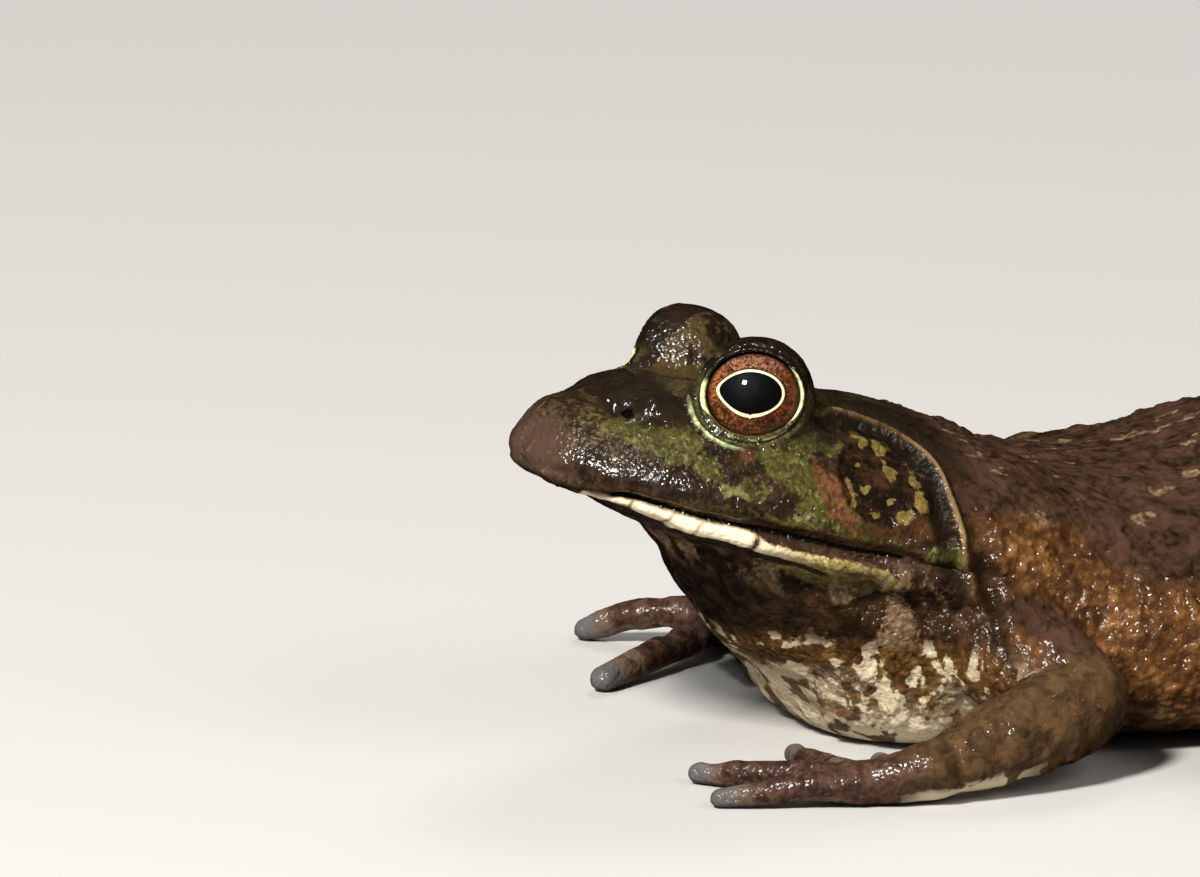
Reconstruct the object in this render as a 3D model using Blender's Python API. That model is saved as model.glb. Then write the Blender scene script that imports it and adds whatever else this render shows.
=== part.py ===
"""American bullfrog (Lithobates catesbeianus), an adult at rest: still, life-size model.

The frog faces -Y, its left side is +X and it sits on the plane z = 0. Sizes below are in
millimetres and are turned into metres where the meshes are made. The body is lofted from a few
named profiles (head, lower jaw, trunk, throat) and the limbs are tubes along their bones' lines.
The pieces are parted along the neck, the mouth, the joints of the limbs and the eyes.
"""
import math

import bmesh
import bpy
import numpy as np
from mathutils import Matrix, Vector

for obj in list(bpy.data.objects):
    bpy.data.objects.remove(obj)

MM = 0.001
GAP = 0.3                            # between neighbouring pieces
CENTRE_Y = 41.71                     # middle of the frog's length, counted from the eyes

# ------------------------------------------------------------------ driving sizes, mm
SNOUT_VENT = 124.0                   # snout tip to vent, for reference
HEAD_PITCH = math.radians(14.0)      # the head is held up by this much
EYE_MID = (0.0, 0.4, 42.1)           # midway between the eyeballs: origin of the head frame
EYE_X = 9.3                          # eyeball centre from the midline
EYE_R = 6.0
LID_R = 6.9
LID_OPENING = (5.5, 4.8)             # half width and half height between the lids
GAZE = Vector((0.850, -0.455, 0.27)).normalized()   # left eye's axis

HEAD_HALF = 23.2                     # half width of the head at the jaw's angle
JAW_ANGLE_Y = 17.0                   # where the head is widest, head frame
SNOUT_Y = -22.9                      # snout tip
WIDE_Z = -12.3                       # widest line, on the roll of the upper lip
LIP_Z = -13.8                        # underside of the upper lip
JAW_TIP_Y = -18.4
JAW_IN = 0.55                        # the lower jaw's edge lies this far inside the upper lip
NECK_Y = 24.0                        # parting plane between head and trunk

# head frame: y, top of the head, underside of the upper lip
HEAD_ROWS = (
    (-22.9, -11.3, -11.6), (-22.6, -9.9, -12.9), (-22.0, -8.6, -13.6), (-21.0, -7.0, -14.2),
    (-19.6, -5.4, -14.5), (-17.6, -3.6, -14.4), (-14.8, -1.9, -14.1), (-11.6, -0.9, -13.9),
    (-6.0, -0.4, -13.8), (0.0, -0.1, -13.8), (8.0, 0.6, -13.8), (17.0, 0.5, -13.8),
    (24.0, 0.0, -13.8), (31.0, -1.6, -13.8), (38.0, -4.5, -13.8))
# head frame: y, top and bottom of the lower jaw
JAW_ROWS = (
    (-18.4, -14.9, -15.2), (-18.0, -14.5, -15.7), (-17.0, -14.3, -16.2), (-14.8, -14.2, -16.5),
    (-11.0, -14.1, -16.8), (-5.0, -14.1, -17.4), (3.0, -14.1, -18.0), (11.0, -14.1, -18.8),
    (17.0, -14.1, -19.2), (24.0, -14.1, -19.4), (31.0, -14.1, -19.0), (38.0, -14.1, -18.0))
# y, half width, top, bottom, height of the widest line
TRUNK_ROWS = (
    (7.4, 0.5, 7.2, 6.4, 6.8), (8.2, 7.5, 12.0, 4.8, 7.6), (9.6, 12.0, 17.0, 2.9, 8.2),
    (12.5, 16.5, 22.5, 0.4, 9.0), (16.5, 20.5, 27.5, -0.7, 10.0), (23.0, 24.6, 31.0, -1.2, 11.0),
    (31.0, 28.3, 30.8, -1.2, 11.6), (40.0, 31.6, 29.2, -1.2, 11.8), (50.0, 33.4, 29.0, -1.2, 11.8),
    (60.0, 32.6, 30.8, -1.2, 12.0), (68.0, 29.5, 32.6, -1.2, 12.4), (76.0, 24.5, 32.4, -1.2, 13.0),
    (84.0, 19.0, 29.2, -1.0, 13.0), (91.0, 14.0, 24.2, -0.6, 12.6), (96.5, 9.0, 19.6, 1.2, 12.0),
    (99.6, 5.0, 15.8, 5.0, 11.4), (100.6, 0.6, 11.8, 10.6, 11.2))
# throat and breast: centre line and radius in profile, wider than deep
THROAT_WIDE = 1.72
THROAT = ((0, 1.6, 28.0, 9.2), (0, 5.0, 23.4, 9.6), (0, 9.6, 18.4, 10.4), (0, 17.4, 11.6, 12.0))
SHOULDER = (13.5, 26.0, 20.0, 10.3)  # shoulder muscle: centre and radius
TYMPANUM_Y, TYMPANUM_Z, TYMPANUM_R = 13.3, -5.4, 5.5   # eardrum, head frame

# limbs: (x, y, z, radius) along each bone, left side unless it ends in _R
UPPER_ARM = ((15.0, 23.5, 14.5, 7.5), (22.5, 24.5, 13.6, 7.2), (29.0, 27.5, 11.2, 6.2), (34.5, 30.0, 9.0, 5.2))
FOREARM = ((34.5, 30.0, 9.0, 5.2), (37.0, 24.0, 7.4, 5.5), (38.6, 16.5, 5.6, 4.5), (39.0, 9.0, 3.9, 3.2))
PALM = ((39.0, 9.0, 3.9, 3.2), (38.0, 5.0, 3.0, 3.0), (36.0, 1.5, 2.2, 2.6))
FINGERS = (((36.5, 4.0, 2.4, 2.3), (31.5, 6.8, 2.2, 1.75), (25.0, 9.0, 1.2, 1.45)),
           ((35.5, 2.0, 2.4, 2.2), (29.0, 0.9, 2.5, 1.7), (22.5, 1.4, 1.9, 1.6), (15.5, 2.8, 1.0, 1.35)),
           ((35.5, 0.5, 2.4, 2.2), (30.5, -3.2, 2.6, 1.75), (25.5, -7.0, 2.0, 1.6), (19.5, -11.2, 1.1, 1.4)),
           ((37.0, 0.5, 2.3, 2.1), (35.2, -4.6, 2.4, 1.7), (33.4, -9.4, 1.8, 1.5), (31.0, -14.0, 1.0, 1.3)))
UPPER_ARM_R = ((-15.0, 23.5, 14.5, 7.5), (-22.0, 26.5, 13.6, 7.2), (-29.5, 33.0, 11.4, 6.2), (-36.0, 40.0, 9.4, 5.2))
FOREARM_R = ((-36.0, 40.0, 9.4, 5.2), (-40.4, 38.0, 7.8, 5.4), (-43.0, 32.5, 5.8, 4.5), (-43.8, 26.5, 4.2, 3.3))
PALM_R = ((-43.8, 26.5, 4.2, 3.3), (-43.0, 22.5, 3.5, 3.1), (-41.0, 19.0, 2.8, 2.7))
FINGERS_R = (((-41.5, 22.0, 2.5, 2.3), (-36.5, 24.0, 2.3, 1.75), (-30.5, 25.0, 1.2, 1.45)),
             ((-40.5, 19.5, 2.7, 2.3), (-34.5, 18.8, 2.8, 1.75), (-29.0, 17.8, 2.0, 1.65), (-23.0, 16.0, 1.1, 1.4)),
             ((-40.0, 18.0, 2.9, 2.3), (-34.9, 12.9, 2.8, 1.95), (-30.3, 5.4, 2.3, 1.8), (-26.2, -2.0, 1.4, 1.65)),
             ((-41.5, 18.5, 3.2, 2.2), (-43.8, 14.4, 4.0, 1.85), (-46.8, 10.8, 3.2, 1.7), (-50.2, 7.0, 1.2, 1.5)))
THIGH = ((13.5, 87.0, 14.0, 11.6), (21.0, 78.5, 14.6, 11.4), (31.0, 66.0, 13.6, 10.4), (40.0, 55.5, 12.0, 8.8), (44.5, 51.0, 11.0, 7.8))
SHANK = ((46.5, 53.0, 10.2, 7.2), (47.5, 60.0, 9.4, 7.3), (46.0, 74.0, 8.2, 7.2), (41.0, 90.0, 6.2, 5.6), (35.0, 104.0, 5.0, 4.4))
TARSUS = ((36.2, 102.6, 4.7, 4.1), (39.5, 99.0, 4.2, 3.9), (45.0, 93.0, 3.5, 3.6), (49.5, 87.0, 3.0, 3.5))
SOLE = ((49.8, 88.2, 2.9, 3.3), (51.6, 84.0, 2.7, 3.4), (53.4, 80.0, 2.4, 2.9))
TOES = (((49.4, 84.6, 2.5, 2.1), (51.0, 77.0, 2.3, 1.8), (52.3, 70.0, 1.6, 1.5), (53.0, 63.5, 0.9, 1.2)),
        ((50.9, 83.1, 2.6, 2.2), (54.0, 75.0, 2.4, 1.9), (57.0, 65.0, 1.7, 1.6), (59.5, 55.5, 0.9, 1.2)),
        ((52.6, 82.2, 2.7, 2.3), (57.4, 72.0, 2.5, 2.0), (62.5, 59.5, 1.8, 1.7), (67.0, 47.5, 0.9, 1.2)),
        ((53.9, 82.9, 2.6, 2.4), (60.9, 70.5, 2.6, 2.1), (68.5, 55.5, 2.0, 1.8), (74.0, 44.5, 1.5, 1.5), (79.0, 34.0, 0.9, 1.2)),
        ((54.2, 84.8, 2.5, 2.2), (61.9, 77.0, 2.4, 1.9), (70.5, 66.5, 1.7, 1.6), (78.5, 56.5, 0.9, 1.2)))
WEB_THICK = 1.0
WEB_REACH = 0.72                     # share of the toes' length that the web joins

HEAD_STATIONS = (-22.8, -22.4, -21.6, -20.2, -18.2, -15.6, -12.0, -7.5, -2.5, 2.5, 7.5, 12.5, 17.0, 22.0, 29.0, 36.0)
JAW_STATIONS = (-18.35, -17.9, -16.9, -15.2, -12.5, -8.5, -3.5, 2.5, 9.0, 15.5, 22.0, 28.0, 34.0)
TRUNK_STATIONS = (7.5, 8.2, 9.6, 12.5, 16.5, 22.0, 29.0, 36.0, 43.0, 50.0, 57.0, 64.0, 70.5, 77.0, 83.5, 89.5, 94.8, 98.6, 100.4)


# ------------------------------------------------------------------ profiles
def smooth_rows(x, xs, ys):
    """Cubic through the rows that never overshoots them."""
    xs, ys = np.asarray(xs, float), np.asarray(ys, float)
    h = np.diff(xs)
    d = np.diff(ys) / h
    m = np.zeros(len(xs))
    m[0], m[-1] = d[0], d[-1]
    for i in range(1, len(xs) - 1):
        if d[i - 1] * d[i] > 0:
            w1, w2 = 2 * h[i] + h[i - 1], h[i] + 2 * h[i - 1]
            m[i] = (w1 + w2) / (w1 / d[i - 1] + w2 / d[i])
    i = int(np.clip(np.searchsorted(xs, x) - 1, 0, len(xs) - 2))
    t = float(np.clip((x - xs[i]) / h[i], 0, 1))
    return ((2 * t**3 - 3 * t**2 + 1) * ys[i] + (t**3 - 2 * t**2 + t) * h[i] * m[i]
            + (3 * t**2 - 2 * t**3) * ys[i + 1] + (t**3 - t**2) * h[i] * m[i + 1])


def row_values(y, table):
    """The table's columns at y. Distance from the first row is taken as a root, so that the end is round."""
    s = math.sqrt(max(y - table[0][0], 0.0))
    roots = [math.sqrt(row[0] - table[0][0]) for row in table]
    return [smooth_rows(s, roots, [row[k] for row in table]) for k in range(1, len(table[0]))]


def trunk_values(y):
    if y < 50:
        return row_values(y, TRUNK_ROWS)
    back = [(-row[0],) + tuple(row[1:]) for row in reversed(TRUNK_ROWS)]
    return row_values(-y, back)


def plan_half(y, tip, half):
    """Half width of the head's rounded outline, seen from above."""
    u = min(max((JAW_ANGLE_Y - y) / (JAW_ANGLE_Y - tip), 0.0), 1.0)
    return max(half * (1 - u**1.75) ** (1 / 1.95) - 0.012 * max(y - JAW_ANGLE_Y, 0.0) ** 1.6, 0.1)


def from_head(x, y, z):
    c, s = math.cos(HEAD_PITCH), math.sin(HEAD_PITCH)
    return (x, EYE_MID[1] + y * c + z * s, EYE_MID[2] - y * s + z * c)


def superellipse(count, half, top, bottom, wide, n_top, n_bottom):
    """(x, z) points round a section that is widest at height `wide`."""
    points = []
    for i in range(count):
        a = 2 * math.pi * i / count
        c, s = math.cos(a), math.sin(a)
        n = n_top if s >= 0 else n_bottom
        reach = (top - wide) if s >= 0 else (wide - bottom)
        points.append((half * math.copysign(abs(c) ** (2 / n), c), wide + reach * math.copysign(abs(s) ** (2 / n), s)))
    return points


# ------------------------------------------------------------------ meshes
def link(name, bm, colour=None):
    bmesh.ops.recalc_face_normals(bm, faces=bm.faces)
    mesh = bpy.data.meshes.new(name)
    bm.to_mesh(mesh)
    bm.free()
    obj = bpy.data.objects.new(name, mesh)
    bpy.context.scene.collection.objects.link(obj)
    if colour:
        mesh.materials.append(colour)
    return obj


def at(point):
    return Vector((point[0] * MM, (point[1] - CENTRE_Y) * MM, point[2] * MM))


def loft(name, rings):
    """Closed skin over a row of rings; a ring of one point closes the end to a tip."""
    bm = bmesh.new()
    rows = [[bm.verts.new(at(p)) for p in ring] for ring in rings]
    for a, b in zip(rows[:-1], rows[1:]):
        n = max(len(a), len(b))
        for i in range(n):
            j = (i + 1) % n
            if len(a) == 1:
                bm.faces.new((a[0], b[i], b[j]))
            elif len(b) == 1:
                bm.faces.new((a[i], b[0], a[j]))
            else:
                bm.faces.new((a[i], b[i], b[j], a[j]))
    for end in (rows[0], rows[-1]):
        if len(end) > 1:
            bm.faces.new(end)
    return link(name, bm)


def head_loft(grow=0.0, count=26):
    rings = []
    for y in HEAD_STATIONS:
        top, lip = row_values(y, HEAD_ROWS)
        wide = min(max(WIDE_Z, lip + 0.3), top - 0.2)
        half = plan_half(y, SNOUT_Y, HEAD_HALF)
        rings.append([from_head(x, y, z) for x, z in
                      superellipse(count, half + grow, top + grow, lip - grow, wide, 2.2, 2.3)])
    return loft("head_form", rings)


def jaw_loft(grow=0.0, count=22):
    rings = []
    for k, y in enumerate(JAW_STATIONS):
        top, bottom = row_values(y, JAW_ROWS)
        half = plan_half(y, JAW_TIP_Y, HEAD_HALF - JAW_IN)
        if k == 0:
            y -= grow
        rings.append([from_head(x, y, z) for x, z in
                      superellipse(count, half + grow, top + grow, bottom - grow, 0.6 * top + 0.4 * bottom, 2.6, 2.2)])
    return loft("jaw_form", rings)


def trunk_loft(count=28):
    rings = []
    for y in TRUNK_STATIONS:
        half, top, bottom, wide = trunk_values(y)
        rings.append([(x, y, z) for x, z in superellipse(count, half, top, bottom, wide, 2.1, 2.7)])
    return loft("trunk_form", rings)


def smooth_path(path, steps):
    """Points and radii on a Catmull-Rom curve through the path."""
    p = np.array(path, float)
    q = np.vstack([2 * p[0] - p[1], p, 2 * p[-1] - p[-2]])
    out = []
    for i in range(1, len(q) - 2):
        for k in range(steps):
            t = k / steps
            out.append(0.5 * (2 * q[i] + (q[i + 1] - q[i - 1]) * t
                              + (2 * q[i - 1] - 5 * q[i] + 4 * q[i + 1] - q[i + 2]) * t**2
                              + (3 * q[i] - q[i - 1] - 3 * q[i + 1] + q[i + 2]) * t**3))
    return np.array(out + [p[-1]])


def tube(name, path, count=12, steps=2, grow=0.0, wide=1.0, ends=(45,)):
    """Round limb along a path of (x, y, z, radius), with rounded ends."""
    q = smooth_path(path, steps)
    q[:, 3] += grow
    tangents = np.gradient(q[:, :3], axis=0)
    tangents /= np.linalg.norm(tangents, axis=1)[:, None]
    rings = []

    def ring(centre, tangent, radius):
        t = Vector(tangent)
        side = t.cross(Vector((0, 0, 1)))
        side = side.normalized() if side.length > 0.2 else Vector((1, 0, 0))
        up = side.cross(t).normalized()
        out = []
        for i in range(count):
            a = 2 * math.pi * (i + 0.5) / count
            v = side * (math.cos(a) * radius) + up * (math.sin(a) * radius)
            out.append((centre[0] + v.x * wide, centre[1] + v.y, centre[2] + v.z))
        return out

    def cap(centre, outwards, tangent, radius):
        """Rings of a rounded end, from the limb to its tip."""
        slices = [ring(centre + outwards * radius * math.sin(math.radians(a)), tangent, radius * math.cos(math.radians(a))) for a in ends]
        return slices + [[tuple(centre + outwards * radius)]]

    rings += reversed(cap(q[0, :3], -tangents[0], tangents[0], q[0, 3]))
    rings += [ring(centre[:3], t, centre[3]) for centre, t in zip(q, tangents)]
    rings += cap(q[-1, :3], tangents[-1], tangents[-1], q[-1, 3])
    return loft(name, rings)


def ball(name, centre, radius, squash=(1, 1, 1), count=24, rings=14, axis=None):
    bm = bmesh.new()
    turn = Matrix.Identity(4)
    if axis is not None:
        turn = Vector(axis).to_track_quat("Z", "Y").to_matrix().to_4x4()
    bmesh.ops.create_uvsphere(bm, u_segments=count, v_segments=rings, radius=radius * MM)
    bmesh.ops.transform(bm, verts=bm.verts, matrix=Matrix.Translation(at(centre)) @ turn @ Matrix.Diagonal((*squash, 1)))
    return link(name, bm)


def drum(name, centre, axis, radius, near, far, squash=1.0, count=24):
    """Cylinder along an axis, from `near` to `far` along it."""
    bm = bmesh.new()
    bmesh.ops.create_cone(bm, cap_ends=True, segments=count, radius1=radius * MM, radius2=radius * MM, depth=(far - near) * MM)
    turn = Vector(axis).to_track_quat("Z", "Y").to_matrix().to_4x4()
    shift = Matrix.Translation(Vector(axis).normalized() * ((near + far) / 2 * MM))
    bmesh.ops.transform(bm, verts=bm.verts, matrix=Matrix.Translation(at(centre)) @ shift @ turn @ Matrix.Diagonal((1, squash, 1, 1)))
    return link(name, bm)


def head_block(name, y0, y1, z0, z1, half=80.0):
    """Block with its faces along the head's frame."""
    bm = bmesh.new()
    bmesh.ops.create_cube(bm, size=1.0)
    for v in bm.verts:
        v.co = at(from_head(v.co.x * 2 * half, y0 if v.co.y < 0 else y1, z0 if v.co.z < 0 else z1))
    return link(name, bm)


def copy(obj, name):
    new = bpy.data.objects.new(name, obj.data.copy())
    bpy.context.scene.collection.objects.link(new)
    return new


def weld(mesh, within=0.000004):
    """Close up the hair-thin triangles that a Boolean can leave."""
    bm = bmesh.new()
    bm.from_mesh(mesh)
    bmesh.ops.remove_doubles(bm, verts=bm.verts, dist=within)
    bmesh.ops.dissolve_degenerate(bm, edges=bm.edges, dist=within)
    bm.to_mesh(mesh)
    bm.free()


def boolean(obj, tool, operation, keep=False):
    """Apply one exact Boolean and drop its tool."""
    mod = obj.modifiers.new("cut", "BOOLEAN")
    mod.operation = operation
    mod.solver = "EXACT"
    mod.object = tool
    bpy.context.view_layer.update()
    mesh = bpy.data.meshes.new_from_object(obj.evaluated_get(bpy.context.evaluated_depsgraph_get()))
    obj.modifiers.clear()
    obj.data = mesh
    weld(mesh)
    if not keep:
        bpy.data.objects.remove(tool)
    return obj


def mirror_copy(obj, name):
    """The same piece on the other side of the body."""
    new = copy(obj, name)
    new.data.name = name
    bm = bmesh.new()
    bm.from_mesh(new.data)
    bmesh.ops.transform(bm, verts=bm.verts, matrix=Matrix.Diagonal((-1, 1, 1, 1)))
    bmesh.ops.reverse_faces(bm, faces=bm.faces)
    bm.to_mesh(new.data)
    bm.free()
    return new


def join(obj, *others):
    for other in others:
        boolean(obj, other, "UNION")
    return obj


def cut(obj, *others, keep=False):
    for other in others:
        boolean(obj, other, "DIFFERENCE", keep)
    return obj


def mirrored(path):
    return tuple((-p[0],) + tuple(p[1:]) for p in path)


def material(name, colour, roughness):
    mat = bpy.data.materials.new(name)
    mat.use_nodes = True
    shader = mat.node_tree.nodes["Principled BSDF"]
    shader.inputs["Base Color"].default_value = (*colour, 1.0)
    shader.inputs["Roughness"].default_value = roughness
    shader.inputs["Metallic"].default_value = 0.0
    return mat


DORSAL = material("dorsal_skin", (0.085, 0.060, 0.028), 0.35)
VENTRAL = material("ventral_skin", (0.40, 0.33, 0.21), 0.40)
LIMB = material("limb_skin", (0.110, 0.075, 0.040), 0.38)
DRUM = material("eardrum_skin", (0.075, 0.045, 0.022), 0.30)
EYE = material("eye", (0.45, 0.13, 0.03), 0.08)

FLOOR = drum("floor_cut", (0, CENTRE_Y, 0), (0, 0, 1), 400, -60, 0, count=8)
FLOOR.hide_render = True
FLOOR.display_type = "WIRE"


def drop_crumbs(bm):
    """Keep only the largest connected shell."""
    left, shells = set(bm.verts), []
    while left:
        stack = [left.pop()]
        shell = set(stack)
        while stack:
            for edge in stack.pop().link_edges:
                for v in edge.verts:
                    if v in left:
                        left.discard(v)
                        shell.add(v)
                        stack.append(v)
        shells.append(shell)
    shells.sort(key=len)
    bmesh.ops.delete(bm, geom=[v for shell in shells[:-1] for v in shell], context="VERTS")


def finish(obj, name, mat, merge_flat=False, share=1.0):
    """Level the piece with the floor, tidy it to the share of its triangles that it needs, and name it."""
    if share < 1:
        mod = obj.modifiers.new("thin_out", "DECIMATE")
        mod.ratio = share
        bpy.context.view_layer.update()
        mesh = bpy.data.meshes.new_from_object(obj.evaluated_get(bpy.context.evaluated_depsgraph_get()))
        obj.modifiers.clear()
        obj.data = mesh
    cut(obj, FLOOR, keep=True)
    bm = bmesh.new()
    bm.from_mesh(obj.data)
    drop_crumbs(bm)
    if merge_flat:
        bmesh.ops.dissolve_limit(bm, angle_limit=math.radians(1.2), verts=bm.verts, edges=bm.edges)
    bmesh.ops.triangulate(bm, faces=bm.faces)
    bm.to_mesh(obj.data)
    bm.free()
    obj.name = name
    obj.data.name = name
    obj.data.materials.clear()
    obj.data.materials.append(mat)
    obj.data.shade_smooth()
    obj.data.set_sharp_from_angle(angle=math.radians(35))
    return obj


# ------------------------------------------------------------------ limbs, made first because they are cut out of the trunk
def arm_paths(side):
    return (UPPER_ARM, FOREARM, PALM, FINGERS) if side > 0 else (UPPER_ARM_R, FOREARM_R, PALM_R, FINGERS_R)


def web(paths, reach):
    """Thin plate between two toes' centre lines, with a hollow free edge."""
    a, b = (smooth_path(p, 4) for p in paths)
    n = 7
    bm = bmesh.new()
    grid = []
    for i in range(n):
        t = i / (n - 1) * reach
        pa = [np.interp(t * (len(a) - 1), range(len(a)), a[:, k]) for k in range(3)]
        pb = [np.interp(t * (len(b) - 1), range(len(b)), b[:, k]) for k in range(3)]
        tm = t * 0.86
        ma = [np.interp(tm * (len(a) - 1), range(len(a)), a[:, k]) for k in range(3)]
        mb = [np.interp(tm * (len(b) - 1), range(len(b)), b[:, k]) for k in range(3)]
        mid = [(u + v) / 2 for u, v in zip(ma, mb)]
        # the plate stops just short of the toes' centre lines, inside the toes
        width = math.dist(pa, pb)
        inset = min(0.5, 0.2 * width) / width
        pa, pb = ([u + (v - u) * inset for u, v in zip(p, q)] for p, q in ((pa, pb), (pb, pa)))
        row = []
        for p in (pa, mid, pb):
            low = max(p[2] * 0.45 - WEB_THICK / 2, -0.4)
            row.append((bm.verts.new(at((p[0], p[1], low))), bm.verts.new(at((p[0], p[1], low + WEB_THICK + 0.4)))))
        grid.append(row)
    for r, s in zip(grid[:-1], grid[1:]):
        for c in (0, 1):
            bm.faces.new((r[c][1], r[c + 1][1], s[c + 1][1], s[c][1]))
            bm.faces.new((r[c][0], s[c][0], s[c + 1][0], r[c + 1][0]))
        bm.faces.new((r[0][0], r[0][1], s[0][1], s[0][0]))
        bm.faces.new((r[2][0], s[2][0], s[2][1], r[2][1]))
    for r in (grid[0], grid[-1]):
        for c in (0, 1):
            bm.faces.new((r[c][0], r[c + 1][0], r[c + 1][1], r[c][1]))
    return link("web", bm)


ARM_ROOTS, THIGH_ROOTS = [], []
for side, tag in ((1, "L"), (-1, "R")):
    upper, fore, palm, fingers = arm_paths(side)
    arm = tube("upper", upper, 12, 2)
    ARM_ROOTS.append(tube("arm_root", upper, 12, 2, grow=GAP))
    forearm = tube("fore", fore, 12, 2)
    # the elbow: the forearm is parted from the upper arm by the upper arm's own shape
    cut(forearm, tube("elbow", upper, 12, 2, grow=GAP))
    hand = tube("palm", palm, 12, 2)
    for k, path in enumerate(fingers):
        join(hand, tube(f"finger_{k}", path, 8, 1 if len(path) > 3 else 2))
    cut(hand, tube("wrist", fore, 12, 2, grow=GAP))
    finish(arm, f"upper_arm_{tag}", LIMB)
    finish(forearm, f"forearm_{tag}", LIMB)
    finish(hand, f"hand_{tag}", LIMB, share=0.76)


# the hind legs are alike on both sides
thigh = tube("thigh", THIGH, 16, 2)
for path in (THIGH, mirrored(THIGH)):
    THIGH_ROOTS.append(tube("thigh_root", path, 16, 2, grow=GAP))
shank = cut(tube("shank", SHANK, 14, 2), tube("knee", THIGH, 16, 2, grow=GAP))
tarsus = cut(tube("tarsus", TARSUS, 12, 2), tube("heel", SHANK, 14, 2, grow=GAP))
foot = tube("sole", SOLE, 10, 2)
for k, path in enumerate(TOES):
    join(foot, tube(f"toe_{k}", path, 8, 1 if k < 3 else 2))
for a, b in zip(TOES[:-1], TOES[1:]):
    join(foot, web((a, b), WEB_REACH))
cut(foot, tube("instep", TARSUS, 12, 2, grow=GAP), tube("calf", SHANK, 14, 2, grow=GAP))
for obj, name, share in ((thigh, "thigh", 1.0), (shank, "shank", 1.0), (tarsus, "tarsus", 1.0), (foot, "foot", 0.56)):
    finish(obj, f"{name}_L", LIMB, share=share)
    mirror_copy(obj, f"{name}_R")

# ------------------------------------------------------------------ head, jaw, throat and trunk
torso = trunk_loft()
for s in (-1, 1):
    join(torso, ball("shoulder", (s * SHOULDER[0], SHOULDER[1], SHOULDER[2]), SHOULDER[3], (1.0, 1.3, 1.0), 16, 10))
join(torso, tube("throat_form", [(p[0], p[1], p[2], p[3]) for p in THROAT], 20, 2, wide=THROAT_WIDE))

head = join(head_loft(), boolean(copy(torso, "under_head"), head_block("above_mouth", -60, 60, LIP_Z + 0.3, 60), "INTERSECT"))
for s in (-1, 1):
    join(head, ball("lid", (s * EYE_X, EYE_MID[1], EYE_MID[2]), LID_R, count=20, rings=12,
                    axis=(s * GAZE.x, GAZE.y, GAZE.z)))
jaw = cut(jaw_loft(), head_loft(grow=GAP))
throat = boolean(copy(torso, "throat"), head_block("below_mouth", -60, NECK_Y, -80, LIP_Z - GAP), "INTERSECT")
cut(throat, jaw_loft(grow=GAP))
trunk = join(torso, head_loft(), jaw_loft())
boolean(trunk, head_block("behind_neck", NECK_Y + GAP, 160, -90, 60), "INTERSECT")
boolean(head, head_block("before_neck", -60, NECK_Y, -60, 60), "INTERSECT")
boolean(jaw, head_block("jaw_end", -60, NECK_Y, -60, 60), "INTERSECT")

for s, tag in ((1, "L"), (-1, "R")):
    centre = (s * EYE_X, EYE_MID[1], EYE_MID[2])
    gaze = (s * GAZE.x, GAZE.y, GAZE.z)
    cut(head, ball("socket", centre, EYE_R + GAP, count=16, rings=10, axis=gaze),
        drum("lid_opening", centre, gaze, LID_OPENING[0], 0.5, 14, LID_OPENING[1] / LID_OPENING[0], 24))
    if s > 0:
        mirror_copy(finish(ball("eyeball", centre, EYE_R, count=18, rings=10, axis=gaze), "eye_L", EYE), "eye_R")

for s, tag in ((1, "L"), (-1, "R")):
    # eardrum: a round plug of the head's own side
    top, lip = row_values(TYMPANUM_Y, HEAD_ROWS)
    half = plan_half(TYMPANUM_Y, SNOUT_Y, HEAD_HALF)
    share = (TYMPANUM_Z - WIDE_Z) / (top - WIDE_Z)
    x = half * (1 - share**2.2) ** (1 / 2.2)
    slope = (x / half) ** 1.2 / half, share**1.2 / (top - WIDE_Z)
    normal = Vector((s * slope[0], 0.0, slope[1])).normalized()
    middle = from_head(s * x, TYMPANUM_Y, TYMPANUM_Z)
    axis = Matrix.Rotation(-HEAD_PITCH, 3, "X") @ normal
    plug = boolean(copy(head, "plug"), drum("plug_form", middle, axis, TYMPANUM_R - GAP, -1.6, 3, 1.0, 22), "INTERSECT")
    cut(head, drum("ear_pit", middle, axis, TYMPANUM_R, -1.6 - GAP, 3, 1.0, 22))
    finish(plug, f"tympanum_{tag}", DRUM)

for root in ARM_ROOTS:
    cut(head, root, keep=True)
    cut(jaw, root, keep=True)
    cut(throat, root, keep=True)
    cut(trunk, root)
for root in THIGH_ROOTS:
    cut(trunk, root)
finish(head, "head", DORSAL, True, 0.68)
finish(jaw, "lower_jaw", VENTRAL, True, 0.85)
finish(throat, "throat", VENTRAL, True, 0.72)
finish(trunk, "trunk", DORSAL, True, 0.68)
bpy.data.objects.remove(FLOOR)
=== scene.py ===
"""American bullfrog, still life-size model: one wet skin over the whole body, and two eyes.

Sizes are in millimetres, in the same frame and with the same names as the CAD source, and become
metres where the meshes are made. The frog faces -Y, its left side is +X and the floor is z = 0.
"""

import math

import bmesh
import bpy
import numpy as np
from mathutils import Matrix, Vector


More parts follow.
